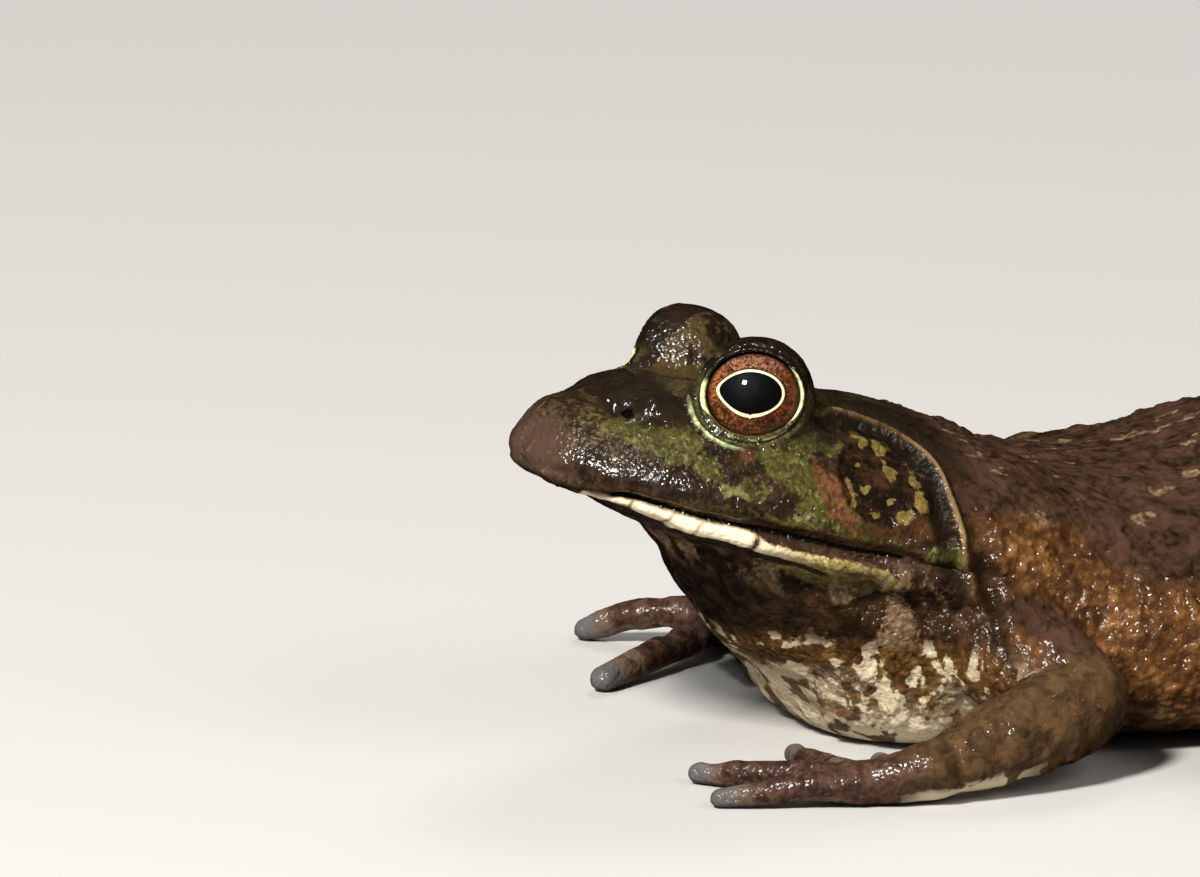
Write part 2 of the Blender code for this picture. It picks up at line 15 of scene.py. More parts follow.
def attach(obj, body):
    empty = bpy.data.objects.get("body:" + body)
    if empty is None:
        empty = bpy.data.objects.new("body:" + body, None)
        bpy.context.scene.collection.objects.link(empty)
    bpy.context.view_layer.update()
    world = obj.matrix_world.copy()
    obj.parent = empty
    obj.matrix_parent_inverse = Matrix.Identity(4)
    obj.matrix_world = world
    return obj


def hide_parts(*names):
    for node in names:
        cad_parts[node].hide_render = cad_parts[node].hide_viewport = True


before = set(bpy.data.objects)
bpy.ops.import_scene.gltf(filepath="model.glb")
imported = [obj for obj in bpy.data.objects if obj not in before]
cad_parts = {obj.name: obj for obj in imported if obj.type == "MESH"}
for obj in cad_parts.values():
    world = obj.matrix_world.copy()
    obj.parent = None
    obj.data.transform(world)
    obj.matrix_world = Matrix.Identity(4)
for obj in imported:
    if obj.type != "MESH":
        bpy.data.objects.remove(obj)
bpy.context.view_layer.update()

MM = 0.001
CENTRE_Y = 41.71

# ------------------------------------------------------------------ sizes, as in the CAD source
HEAD_PITCH = math.radians(14.0)
EYE_MID = (0.0, 0.4, 42.1)
EYE_X, EYE_R, LID_R = 9.3, 6.0, 6.9
GAZE = np.array((0.850, -0.455, 0.27)) / np.linalg.norm((0.850, -0.455, 0.27))
HEAD_HALF, JAW_ANGLE_Y = 23.2, 17.0
SNOUT_Y, WIDE_Z = -22.9, -12.3
HEAD_ROWS = (
    (-22.9, -11.3, -11.6), (-22.6, -9.9, -12.9), (-22.0, -8.6, -13.6), (-21.0, -7.0, -14.2),
    (-19.6, -5.4, -14.5), (-17.6, -3.6, -14.4), (-14.8, -1.9, -14.1), (-11.6, -0.9, -13.9),
    (-6.0, -0.4, -13.8), (0.0, -0.1, -13.8), (8.0, 0.6, -13.8), (17.0, 0.5, -13.8),
    (24.0, 0.0, -13.8), (31.0, -1.6, -13.8), (38.0, -4.5, -13.8))
JAW_ROWS = (
    (-18.4, -14.9, -15.2), (-18.0, -14.5, -15.7), (-17.0, -14.3, -16.2), (-14.8, -14.2, -16.5),
    (-11.0, -14.1, -16.8), (-5.0, -14.1, -17.4), (3.0, -14.1, -18.0), (11.0, -14.1, -18.8),
    (17.0, -14.1, -19.2), (24.0, -14.1, -19.4), (31.0, -14.1, -19.0), (38.0, -14.1, -18.0))
TRUNK_ROWS = (
    (7.4, 0.5, 7.2, 6.4, 6.8), (8.2, 7.5, 12.0, 4.8, 7.6), (9.6, 12.0, 17.0, 2.9, 8.2),
    (12.5, 16.5, 22.5, 0.4, 9.0), (16.5, 20.5, 27.5, -0.7, 10.0), (23.0, 24.6, 31.0, -1.2, 11.0),
    (31.0, 28.3, 30.8, -1.2, 11.6), (40.0, 31.6, 29.2, -1.2, 11.8), (50.0, 33.4, 29.0, -1.2, 11.8),
    (60.0, 32.6, 30.8, -1.2, 12.0), (68.0, 29.5, 32.6, -1.2, 12.4), (76.0, 24.5, 32.4, -1.2, 13.0),
    (84.0, 19.0, 29.2, -1.0, 13.0), (91.0, 14.0, 24.2, -0.6, 12.6), (96.5, 9.0, 19.6, 1.2, 12.0),
    (99.6, 5.0, 15.8, 5.0, 11.4), (100.6, 0.6, 11.8, 10.6, 11.2))
THROAT_WIDE = 1.72
THROAT = ((0, 1.6, 28.0, 9.2), (0, 5.0, 23.4, 9.6), (0, 9.6, 18.4, 10.4), (0, 17.4, 11.6, 12.0))
SHOULDER = (13.5, 26.0, 20.0, 10.3)
UPPER_ARM = ((15.0, 23.5, 14.5, 7.5), (22.5, 24.5, 13.6, 7.2), (29.0, 27.5, 11.2, 6.2), (34.5, 30.0, 9.0, 5.2))
FOREARM = ((34.5, 30.0, 9.0, 5.2), (37.0, 24.0, 7.4, 5.5), (38.6, 16.5, 5.6, 4.5), (39.0, 9.0, 3.9, 3.2))
PALM = ((39.0, 9.0, 3.9, 3.2), (38.0, 5.0, 3.0, 3.0), (36.0, 1.5, 2.2, 2.6))
FINGERS = (((36.5, 4.0, 2.4, 2.3), (31.5, 6.8, 2.2, 1.75), (25.0, 9.0, 1.2, 1.45)),
           ((35.5, 2.0, 2.4, 2.2), (29.0, 0.9, 2.5, 1.7), (22.5, 1.4, 1.9, 1.6), (15.5, 2.8, 1.0, 1.35)),
           ((35.5, 0.5, 2.4, 2.2), (30.5, -3.2, 2.6, 1.75), (25.5, -7.0, 2.0, 1.6), (19.5, -11.2, 1.1, 1.4)),
           ((37.0, 0.5, 2.3, 2.1), (35.2, -4.6, 2.4, 1.7), (33.4, -9.4, 1.8, 1.5), (31.0, -14.0, 1.0, 1.3)))
UPPER_ARM_R = ((-15.0, 23.5, 14.5, 7.5), (-22.0, 26.5, 13.6, 7.2), (-29.5, 33.0, 11.4, 6.2), (-36.0, 40.0, 9.4, 5.2))
FOREARM_R = ((-36.0, 40.0, 9.4, 5.2), (-40.4, 38.0, 7.8, 5.4), (-43.0, 32.5, 5.8, 4.5), (-43.8, 26.5, 4.2, 3.3))
PALM_R = ((-43.8, 26.5, 4.2, 3.3), (-43.0, 22.5, 3.5, 3.1), (-41.0, 19.0, 2.8, 2.7))
FINGERS_R = (((-41.5, 22.0, 2.5, 2.3), (-36.5, 24.0, 2.3, 1.75), (-30.5, 25.0, 1.2, 1.45)),
             ((-40.5, 19.5, 2.7, 2.3), (-34.5, 18.8, 2.8, 1.75), (-29.0, 17.8, 2.0, 1.65), (-23.0, 16.0, 1.1, 1.4)),
             ((-40.0, 18.0, 2.9, 2.3), (-34.9, 12.9, 2.8, 1.95), (-30.3, 5.4, 2.3, 1.8), (-26.2, -2.0, 1.4, 1.65)),
             ((-41.5, 18.5, 3.2, 2.2), (-43.8, 14.4, 4.0, 1.85), (-46.8, 10.8, 3.2, 1.7), (-50.2, 7.0, 1.2, 1.5)))
THIGH = ((13.5, 87.0, 14.0, 11.6), (21.0, 78.5, 14.6, 11.4), (31.0, 66.0, 13.6, 10.4), (40.0, 55.5, 12.0, 8.8), (44.5, 51.0, 11.0, 7.8))
SHANK = ((46.5, 53.0, 10.2, 7.2), (47.5, 60.0, 9.4, 7.3), (46.0, 74.0, 8.2, 7.2), (41.0, 90.0, 6.2, 5.6), (35.0, 104.0, 5.0, 4.4))
TARSUS = ((36.2, 102.6, 4.7, 4.1), (39.5, 99.0, 4.2, 3.9), (45.0, 93.0, 3.5, 3.6), (49.5, 87.0, 3.0, 3.5))
SOLE = ((49.8, 88.2, 2.9, 3.3), (51.6, 84.0, 2.7, 3.4), (53.4, 80.0, 2.4, 2.9))
TOES = (((49.4, 84.6, 2.5, 2.1), (51.0, 77.0, 2.3, 1.8), (52.3, 70.0, 1.6, 1.5), (53.0, 63.5, 0.9, 1.2)),
        ((50.9, 83.1, 2.6, 2.2), (54.0, 75.0, 2.4, 1.9), (57.0, 65.0, 1.7, 1.6), (59.5, 55.5, 0.9, 1.2)),
        ((52.6, 82.2, 2.7, 2.3), (57.4, 72.0, 2.5, 2.0), (62.5, 59.5, 1.8, 1.7), (67.0, 47.5, 0.9, 1.2)),
        ((53.9, 82.9, 2.6, 2.4), (60.9, 70.5, 2.6, 2.1), (68.5, 55.5, 2.0, 1.8), (74.0, 44.5, 1.5, 1.5), (79.0, 34.0, 0.9, 1.2)),
        ((54.2, 84.8, 2.5, 2.2), (61.9, 77.0, 2.4, 1.9), (70.5, 66.5, 1.7, 1.6), (78.5, 56.5, 0.9, 1.2)))
WEB_REACH = 0.72

# ------------------------------------------------------------------ sizes of the skin's own details
LID_OPENING = (5.45, 4.85)           # half axes of the opening between the lids
MOUTH_Z = -14.0                      # mouth line, head frame
MOUTH_CORNER_Y = 16.3
MOUTH_DEEP, MOUTH_GAP = 0.42, 0.34    # depth and half height of the groove between the lips
NOSTRIL = (7.4, -14.6, -3.6)         # head frame
# supratympanic fold, from the eye's hind corner over the eardrum to the arm, head frame
FOLD = ((11.6, 7.4, -1.6), (10.6, 8.9, -0.9), (11.2, 11.4, -0.6), (12.4, 14.0, -0.8), (14.6, 16.8, -1.7),
        (16.6, 18.7, -2.6), (19.3, 20.0, -4.0), (21.2, 20.6, -5.9), (22.7, 21.3, -7.8), (23.7, 22.1, -9.9),
        (24.2, 22.8, -12.0), (24.3, 24.2, -14.6), (24.8, 25.8, -17.5))
# swelling of the upper lip below the nostril, and the crease before the arm
LIP_SWELL = ((2.5, -22.3, -11.4), (8.5, -19.0, -11.2), (13.0, -14.0, -11.2), (16.0, -9.0, -11.4), (18.8, -4.0, -11.8))
SKIN_JAW_TIP_Y, SKIN_JAW_IN, SKIN_JAW_FRONT = -21.5, 0.2, -17.6   # with skin on it the jaw fills out to the lip
ARM_CREASE = ((24.9, 25.4, -12.3), (27.4, 26.2, -16.0), (29.8, 27.0, -20.3), (31.8, 27.8, -23.0))


# ------------------------------------------------------------------ profiles
def smooth_rows(x, xs, ys):
    """Cubic through the rows that never overshoots them, for arrays x."""
    xs, ys = np.asarray(xs, float), np.asarray(ys, float)
    h = np.diff(xs)
    d = np.diff(ys) / h
    m = np.zeros(len(xs))
    m[0], m[-1] = d[0], d[-1]
    w1, w2 = 2 * h[1:] + h[:-1], h[1:] + 2 * h[:-1]
    same = d[:-1] * d[1:] > 0
    safe = np.where(same, d[:-1], 1.0), np.where(same, d[1:], 1.0)
    m[1:-1] = np.where(same, (w1 + w2) / (w1 / safe[0] + w2 / safe[1]), 0.0)
    x = np.asarray(x, float)
    i = np.clip(np.searchsorted(xs, x) - 1, 0, len(xs) - 2)
    t = np.clip((x - xs[i]) / h[i], 0, 1)
    return ((2 * t**3 - 3 * t**2 + 1) * ys[i] + (t**3 - 2 * t**2 + t) * h[i] * m[i]
            + (3 * t**2 - 2 * t**3) * ys[i + 1] + (t**3 - t**2) * h[i] * m[i + 1])


def row_values(y, table):
    """The table's columns at y, with the distance from the first row taken as a root: round ends."""
    r = np.array(table)
    s = np.sqrt(np.clip(y - r[0, 0], 0, None))
    roots = np.sqrt(r[:, 0] - r[0, 0])
    return [smooth_rows(s, roots, r[:, k]) for k in range(1, r.shape[1])]


def trunk_values(y):
    r = np.array(TRUNK_ROWS)
    back = np.column_stack([-r[::-1, 0], r[::-1, 1:]])
    return [np.where(y < 50, a, b) for a, b in zip(row_values(y, r), row_values(-y, back))]


def plan_half(y, tip, half):
    u = np.clip((JAW_ANGLE_Y - y) / (JAW_ANGLE_Y - tip), 0, 1)
    return np.maximum(half * (1 - u**1.75) ** (1 / 1.95) - 0.012 * np.clip(y - JAW_ANGLE_Y, 0, None) ** 1.6, 0.05)


def to_head(y, z):
    c, s = math.cos(HEAD_PITCH), math.sin(HEAD_PITCH)
    dy, dz = y - EYE_MID[1], z - EYE_MID[2]
    return dy * c - dz * s, dy * s + dz * c


def from_head(x, y, z):
    c, s = math.cos(HEAD_PITCH), math.sin(HEAD_PITCH)
    return np.array((x, EYE_MID[1] + y * c + z * s, EYE_MID[2] - y * s + z * c))


def mirrored(path):
    return tuple((-p[0],) + tuple(p[1:]) for p in path)


def smooth_path(path, steps=5):
    """Points and radii on a Catmull-Rom curve through the path."""
    p = np.array(path, float)
    q = np.vstack([2 * p[0] - p[1], p, 2 * p[-1] - p[-2]])
    out = []
    for i in range(1, len(q) - 2):
        for k in range(steps):
            t = k / steps
            out.append(0.5 * (2 * q[i] + (q[i + 1] - q[i - 1]) * t
                              + (2 * q[i - 1] - 5 * q[i] + 4 * q[i + 1] - q[i + 2]) * t**2
                              + (3 * q[i] - q[i - 1] - 3 * q[i + 1] + q[i + 2]) * t**3))
    return np.array(out + [p[-1]])


# ------------------------------------------------------------------ shapes as distance fields
def smin(a, b, k):
    h = np.maximum(k - np.abs(a - b), 0.0) / k
    return np.minimum(a, b) - h * h * (k * 0.25)


def smax(a, b, k):
    return -smin(-a, -b, k)


def section(x, zz, half, up, down, n_up, n_down):
    """Distance to a superellipse section; zz is measured from its widest line."""
    ext = np.where(zz >= 0, up, down).astype(np.float32)
    n = np.where(zz >= 0, n_up, n_down).astype(np.float32)
    g = ((np.abs(x) / half.astype(np.float32)) ** n + (np.abs(zz) / ext).astype(np.float32) ** n + np.float32(1e-9)) ** (1 / n)
    return np.sqrt(x * x + (zz * zz).astype(np.float32)) * (1 - 1 / g)


def lip_rise(hy):
    """How far the lip line stands above the rows' straight one, most behind the snout's tip."""
    rise = 0.35 * np.clip((12.0 - hy) / 10.0, 0, 1) + 0.5 * np.clip((-7.0 - hy) / 8.0, 0, 1)
    return rise * (1 - 0.85 * np.clip((-15.2 - hy) / 3.6, 0, 1))


def head_form(x, y, z):
    hy, hz = to_head(y, z)
    top, lip = row_values(hy, HEAD_ROWS)
    lip = lip + lip_rise(hy)
    half = plan_half(hy, SNOUT_Y, HEAD_HALF)
    wide = np.clip(WIDE_Z, lip + 0.3, top - 0.2)
    d = section(x, hz - wide, half, np.maximum(top - wide, 0.2), np.maximum(wide - lip, 0.2), 2.2, 3.6)
    d = np.maximum(d, SNOUT_Y - hy)
    return smax(d, hy - 36.0, 4.0)


def jaw_front(hy):
    """1, falling to 0 round the blunt front of the lower jaw."""
    return np.sqrt(1 - np.clip((SKIN_JAW_FRONT + 3.0 - hy) / 3.1, 0, 1) ** 2)


def jaw_form(x, y, z):
    hy, hz = to_head(y, z)
    top, bottom = row_values(hy, JAW_ROWS)
    top, bottom = top + lip_rise(hy), bottom + 1.6 * np.clip((-9.0 - hy) / 7.0, 0, 1) - 0.9 * np.clip((-15.2 - hy) / 2.0, 0, 1)
    half = plan_half(hy, SKIN_JAW_TIP_Y, HEAD_HALF - SKIN_JAW_IN)
    half = np.maximum(half * jaw_front(hy), 0.05)
    wide = 0.6 * top + 0.4 * bottom
    d = section(x, hz - wide, half, np.maximum(top + 0.2 - wide, 0.15), np.maximum(wide - bottom, 0.2), 3.6, 2.2)
    d = np.maximum(d, SKIN_JAW_FRONT - hy)
    return smax(d, hy - 34.0, 4.0)


def trunk_form(x, y, z):
    half, top, bottom, wide = trunk_values(y)
    d = section(x, z - wide, np.maximum(half, 0.3), np.maximum(top - wide, 0.3), np.maximum(wide - bottom, 0.3), 2.1, 2.7)
    return np.maximum(np.maximum(d, TRUNK_ROWS[0][0] - y), y - TRUNK_ROWS[-1][0])


def ball_form(x, y, z, c, r, k=(1, 1, 1)):
    return (np.sqrt(((x - c[0]) / k[0]) ** 2 + ((y - c[1]) / k[1]) ** 2 + ((z - c[2]) / k[2]) ** 2) - r) * min(k)


def cone_form(x, y, z, a, b):
    """Round cone between the (x, y, z, radius) points a and b."""
    ab = b[:3] - a[:3]
    t = np.clip(((x - a[0]) * ab[0] + (y - a[1]) * ab[1] + (z - a[2]) * ab[2]) / max(float(ab @ ab), 1e-9), 0, 1)
    d = np.sqrt((x - a[0] - t * ab[0]) ** 2 + (y - a[1] - t * ab[1]) ** 2 + (z - a[2] - t * ab[2]) ** 2)
    return d - (a[3] + t * (b[3] - a[3]))


class Field:
    """Distance samples on a grid of uneven steps; shapes are blended in within a window round them."""

    def __init__(self, axes, far=30.0):
        self.ax = axes
        self.f = np.full([len(a) for a in axes], far, np.float32)

    def window(self, low, high):
        cut = []
        for a, lo, hi in zip(self.ax, low, high):
            i, j = int(np.searchsorted(a, lo)), int(np.searchsorted(a, hi))
            cut.append(slice(max(i - 1, 0), min(j + 1, len(a))))
        x, y, z = (a[s] for a, s in zip(self.ax, cut))
        return tuple(cut), x[:, None, None], y[None, :, None], z[None, None, :]

    def blend(self, form, low, high, k, carve=False):
        cut, x, y, z = self.window(low, high)
        if min(s.stop - s.start for s in cut) > 0:
            d = form(x, y, z).astype(np.float32)
            self.f[cut] = smax(self.f[cut], -d, k) if carve else smin(self.f[cut], d, k)

    def tube(self, path, k, steps=5, margin=3.0):
        q = smooth_path(path, steps)
        reach = margin + k
        cut, x, y, z = self.window((q[:, :3] - q[:, 3:]).min(0) - reach, (q[:, :3] + q[:, 3:]).max(0) + reach)
        d = np.full([s.stop - s.start for s in cut], 30.0, np.float32)
        for a, b in zip(q[:-1], q[1:]):
            part, x2, y2, z2 = self.window(np.minimum(a[:3] - a[3], b[:3] - b[3]) - reach, np.maximum(a[:3] + a[3], b[:3] + b[3]) + reach)
            rel = tuple(slice(p.start - o.start, p.stop - o.start) for p, o in zip(part, cut))
            d[rel] = np.minimum(d[rel], cone_form(x2, y2, z2, a, b))
        self.f[cut] = smin(self.f[cut], d, k)


def web_form(a, b, reach=WEB_REACH):
    """Thin skin between two toes, with a hollow free edge, as a fan of thin round cones."""
    a, b = smooth_path(a, 6), smooth_path(b, 6)
    strips = []
    n = 26
    for i in range(n):
        t = i / (n - 1) * reach
        row = []
        for s in np.linspace(0, 1, 5):
            ts = t * (1 - 0.56 * s * (1 - s))
            p = [np.interp(ts * (len(q) - 1), range(len(q)), q[:, k]) for q in (a, b) for k in range(3)]
            x, y, z = (p[k] + (p[k + 3] - p[k]) * s for k in range(3))
            row.append((x, y, max(z * 0.5, 0.55), 0.55))
        strips.append(row)
    return np.array(strips)


def axis_steps(a, b, fine_a, fine_b, fine, coarse, grow=1.05):
    """Samples from a to b: fine steps in the middle part, growing to coarse outside it."""
    out = list(np.arange(fine_a, fine_b + fine, fine))
    for end, sign in ((b, 1), (a, -1)):
        s = fine
        while (out[-1] if sign > 0 else out[0]) * sign < end * sign:
            s = min(s * grow, coarse)
            out = out + [out[-1] + s] if sign > 0 else [out[0] - s] + out
    return np.array(out, np.float32)


def eye_axes(side):
    """The eye's centre, and its axes: forwards to the side, up, and out along the gaze."""
    out = GAZE * (side, 1, 1)
    fore = np.cross((0, 0, 1), out)
    fore /= np.linalg.norm(fore)
    if fore[1] > 0:
        fore = -fore
    up = np.cross(out, fore)
    up *= np.sign(up[2])
    return np.array((side * EYE_X, EYE_MID[1], EYE_MID[2])), fore, up, out


def body_field():
    fine, coarse = ((0.29, 0.46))
    axes = [axis_steps(-81.5, 81.5, -24, 24, fine, coarse),
            axis_steps(-26, 109.5, -25, 30, fine, coarse),
            axis_steps(-1.2, 51, 22, 50, fine, coarse)]
    g = Field(axes)
    g.blend(trunk_form, (-38, 5, -3), (38, 104, 40), 0.5)
    for p, q in zip(THROAT[:-1], THROAT[1:]):
        p, q = np.array(p, float), np.array(q, float)
        g.blend(lambda x, y, z: cone_form(x / THROAT_WIDE, y, z, p, q), (-24, -20, -2), (24, 40, 40), 2.0)
    h = Field(axes)
    h.blend(head_form, (-28, -30, 8), (28, 46, 52), 0.5)
    # the jaw's groove closes behind the corner of the mouth
    _, _, y, z = h.window((-28, -30, 8), (28, 46, 52))
    h.blend(jaw_form, (-28, -30, 8), (28, 46, 52), 0.8 + 5.5 * np.clip((to_head(y, z)[0] - 12.5) / 6.0, 0, 1))
    cut, x, y, z = g.window((-30, -30, -3), (30, 60, 52))
    g.f[cut] = smin(g.f[cut], h.f[cut], 5.0)
    for s in (-1, 1):
        c = (s * SHOULDER[0], SHOULDER[1], SHOULDER[2])
        g.blend(lambda x, y, z: ball_form(x, y, z, c, SHOULDER[3], (1.0, 1.3, 1.0)), (-34, 4, 0), (34, 50, 42), 8.0)
    for s in (-1, 1):
        c = eye_axes(s)[0]
        # the bump stands clear above and melts into the cheek below
        soft = 2.4 + 3.6 * np.clip((c[2] - 1.0 - g.window((-22, -14, 28), (22, 16, 54))[3]) / 6.0, 0, 1)
        g.blend(lambda x, y, z: ball_form(x, y, z, c, LID_R), (-22, -14, 28), (22, 16, 54), soft.astype(np.float32))
    for upper, fore, palm, fingers in ((UPPER_ARM, FOREARM, PALM, FINGERS), (UPPER_ARM_R, FOREARM_R, PALM_R, FINGERS_R)):
        a = Field(axes)
        a.tube(upper + fore[1:], 1.0)
        a.tube(palm, 1.2)
        for f in fingers:
            a.tube(f, 1.0)
        g.f = smin(g.f, a.f, 2.2)
    for turn in (lambda p: p, mirrored):
        a = Field(axes)
        a.tube(turn(SHANK), 1.0)
        a.tube(turn(TARSUS), 1.6)
        a.tube(turn(SOLE), 1.6)
        for t in TOES:
            a.tube(turn(t), 0.9)
        for p, q in zip(TOES[:-1], TOES[1:]):
            grid = web_form(turn(p), turn(q))
            for i in range(grid.shape[0]):
                for k in range(grid.shape[1] - 1):
                    u, v = grid[i, k], grid[i, k + 1]
                    low, high = np.minimum(u, v)[:3] - 1.8, np.maximum(u, v)[:3] + 1.8
                    a.blend(lambda x, y, z: cone_form(x, y, z, u, v), low, high, 0.25)
        g.f = smin(g.f, a.f, 1.2)
        a = Field(axes)
        a.tube(turn(THIGH), 1.0)
        g.f = smin(g.f, a.f, 1.8)
    # gums behind the lips, so that the groove between them stays shallow
    def gums(x, y, z):
        hy, hz = to_head(y, z)
        d = np.abs(x) - (plan_half(hy, SKIN_JAW_TIP_Y, HEAD_HALF) - 0.55) * jaw_front(hy - 0.3)
        return np.maximum(np.maximum(d * 0.8, np.abs(hz + 13.4) - 1.1), np.maximum(SKIN_JAW_FRONT + 0.3 - hy, hy - 20.0))
    g.blend(gums, (-26, -26, 18), (26, 24, 40), 0.5)
    # opening between the lids, and the socket behind it
    for s in (-1, 1):
        c, fore, up, out = eye_axes(s)
        low, high = c - 9, c + 9
        g.blend(lambda x, y, z: ball_form(x, y, z, c, EYE_R - 0.04), low, high, 0.05, carve=True)

        def opening(x, y, z):
            dx, dy, dz = x - c[0], y - c[1], z - c[2]
            u = dx * fore[0] + dy * fore[1] + dz * fore[2]
            v = dx * up[0] + dy * up[1] + dz * up[2]
            w = dx * out[0] + dy * out[1] + dz * out[2]
            e = np.sqrt((u / LID_OPENING[0]) ** 2 + (v / LID_OPENING[1]) ** 2)
            return np.maximum((e - 1) * LID_OPENING[1], 0.5 - w)
        g.blend(opening, low, high, 0.7, carve=True)
    # nostrils: short pits that run inwards and back
    for s in (-1, 1):
        p = from_head(s * (NOSTRIL[0] + 1.5), NOSTRIL[1] - 0.8, NOSTRIL[2] + 1.8)
        q = from_head(s * (NOSTRIL[0] - 1.0), NOSTRIL[1] + 0.8, NOSTRIL[2] - 0.6)
        p, q = np.append(p, 0.66), np.append(q, 0.50)
        g.blend(lambda x, y, z: cone_form(x, y, z, p, q), np.minimum(p, q)[:3] - 2, np.maximum(p, q)[:3] + 2, 0.35, carve=True)
    # level with the floor
    z = axes[2][None, None, :]
    g.f = smax(g.f, 0.03 - z + np.zeros_like(g.f), 0.8)
    return g


def mouth_height(hy):
    """Height of the mouth line, head frame: it dips a little under the snout."""
    return MOUTH_Z + lip_rise(hy) - 0.75 * np.clip((-15.0 - hy) / 5.0, 0, 1) ** 1.2 + 0.35 * np.clip((hy - 10.0) / 8.0, 0, 1)


# ------------------------------------------------------------------ field to mesh
def surface_nets(F, ax):
    """Quads through the cells where the field changes sign."""
    S = F < 0
    nx, ny, nz = F.shape
    corners = [(i, j, k) for i in (0, 1) for j in (0, 1) for k in (0, 1)]

    def at(A, c):
        return A[c[0]:nx - 1 + c[0], c[1]:ny - 1 + c[1], c[2]:nz - 1 + c[2]]

    some, every = np.zeros((nx - 1, ny - 1, nz - 1), bool), np.ones((nx - 1, ny - 1, nz - 1), bool)
    for c in corners:
        some |= at(S, c)
        every &= at(S, c)
    active = some & ~every
    ijk = np.argwhere(active)
    index = np.full(active.shape, -1, np.int32)
    index[active] = np.arange(len(ijk))
    value = {c: F[ijk[:, 0] + c[0], ijk[:, 1] + c[1], ijk[:, 2] + c[2]].astype(float) for c in corners}
    total, count = np.zeros((len(ijk), 3)), np.zeros(len(ijk))
    for a in corners:
        for d in range(3):
            if a[d]:
                continue
            b = tuple(1 if k == d else a[k] for k in range(3))
            fa, fb = value[a], value[b]
            crossed = (fa < 0) != (fb < 0)
            t = np.where(crossed, fa / np.where(crossed, fa - fb, 1), 0)
            p = np.tile(np.array(a, float), (len(ijk), 1))
            p[:, d] += t
            total += p * crossed[:, None]
            count += crossed
    local = total / count[:, None]
    P = np.empty_like(local)
    for d in range(3):
        A, i = ax[d].astype(float), ijk[:, d]
        P[:, d] = A[i] + local[:, d] * (A[i + 1] - A[i])
    quads = []
    for d in range(3):
        e, f = [q for q in range(3) if q != d]
        first, second = [slice(None)] * 3, [slice(None)] * 3
        first[d], second[d] = slice(0, -1), slice(1, None)
        for q in (e, f):
            first[q] = second[q] = slice(1, -1)
        A, B = S[tuple(first)], S[tuple(second)]
        base = np.argwhere(A != B)
        inside_first = A[A != B]
        base[:, e] += 1
        base[:, f] += 1

        def cell(de, df):
            q = base.copy()
            q[:, e] -= de
            q[:, f] -= df
            return index[q[:, 0], q[:, 1], q[:, 2]]

        q = np.stack([cell(1, 1), cell(0, 1), cell(0, 0), cell(1, 0)], 1)
        flip = inside_first if d != 1 else ~inside_first
        q[~flip] = q[~flip][:, ::-1]
        quads.append(q)
    return P, np.vstack(quads)


def normals_of(P, Q):
    a = np.cross(P[Q[:, 2]] - P[Q[:, 0]], P[Q[:, 3]] - P[Q[:, 1]])
    N = np.stack([np.bincount(Q.ravel(), np.repeat(a[:, k], 4), len(P)) for k in range(3)], 1)
    return N / np.maximum(np.linalg.norm(N, axis=1), 1e-12)[:, None]


def relax(P, Q, passes, hold=None):
    """Smooth without shrinking: a push in and a push back out, each pass."""
    edges = np.vstack([Q[:, [0, 1]], Q[:, [1, 2]], Q[:, [2, 3]], Q[:, [3, 0]]])
    a, b = edges[:, 0], edges[:, 1]
    degree = np.bincount(a, minlength=len(P)) + np.bincount(b, minlength=len(P))
    for step in range(passes):
        for factor in (0.55, -0.57):
            M = np.stack([np.bincount(a, P[b, k], len(P)) + np.bincount(b, P[a, k], len(P)) for k in range(3)], 1) / degree[:, None]
            move = (M - P) * factor
            if hold is not None:
                move *= hold[:, None]
            P = P + move
    return P


def skin_mesh():
    g = body_field()
    P, Q = surface_nets(g.f, g.ax)
    # keep the outer shell only
    parent = np.arange(len(P))
    label = parent.copy()
    for _ in range(200):
        low = label[Q].min(1)
        new = label.copy()
        for k in range(4):
            np.minimum.at(new, Q[:, k], low)
        new = new[new]
        if (new == label).all():
            break
        label = new
    main = np.bincount(label).argmax()
    keep = label == main
    number = np.cumsum(keep) - 1
    Q = number[Q[keep[Q[:, 0]]]]
    P = P[keep]
    P = relax(P, Q, 2)
    return g, P, Q


g, P, Q = skin_mesh()



# ------------------------------------------------------------------ noise, the same on every run
def lattice(ix, iy, iz, seed):
    """Three values from 0 to 1 for each cell of a lattice."""
    h = (ix.astype(np.int64) * 73856093) ^ (iy.astype(np.int64) * 19349663) ^ (iz.astype(np.int64) * 83492791) ^ (seed * 2654435761)
    h = (h & 0xFFFFFFFF).astype(np.uint64)
    out = []
    for k in range(3):
        h = (h ^ (h >> np.uint64(15))) * np.uint64(2246822519) & np.uint64(0xFFFFFFFF)
        h = (h ^ (h >> np.uint64(13))) * np.uint64(3266489917) & np.uint64(0xFFFFFFFF)
        h = h ^ (h >> np.uint64(16))
        out.append(h.astype(np.float64) / 4294967295.0)
    return out


def noise(p, size, seed=1, octaves=2, gain=0.5):
    """Smooth noise of about -1 to 1, with features `size` mm across."""
    total, weight, amp = np.zeros(len(p)), 0.0, 1.0
    for octave in range(octaves):
        q = p / size * 2**octave + 17.3 * octave
        i = np.floor(q).astype(np.int64)
        f = q - i
        f = f * f * f * (f * (f * 6 - 15) + 10)
        value = np.zeros(len(p))
        for a in (0, 1):
            for b in (0, 1):
                for c in (0, 1):
                    w = (f[:, 0] if a else 1 - f[:, 0]) * (f[:, 1] if b else 1 - f[:, 1]) * (f[:, 2] if c else 1 - f[:, 2])
                    value += w * (lattice(i[:, 0] + a, i[:, 1] + b, i[:, 2] + c, seed + octave)[0] * 2 - 1)
        total += value * amp
        weight += amp
        amp *= gain
    return total / weight * 1.5


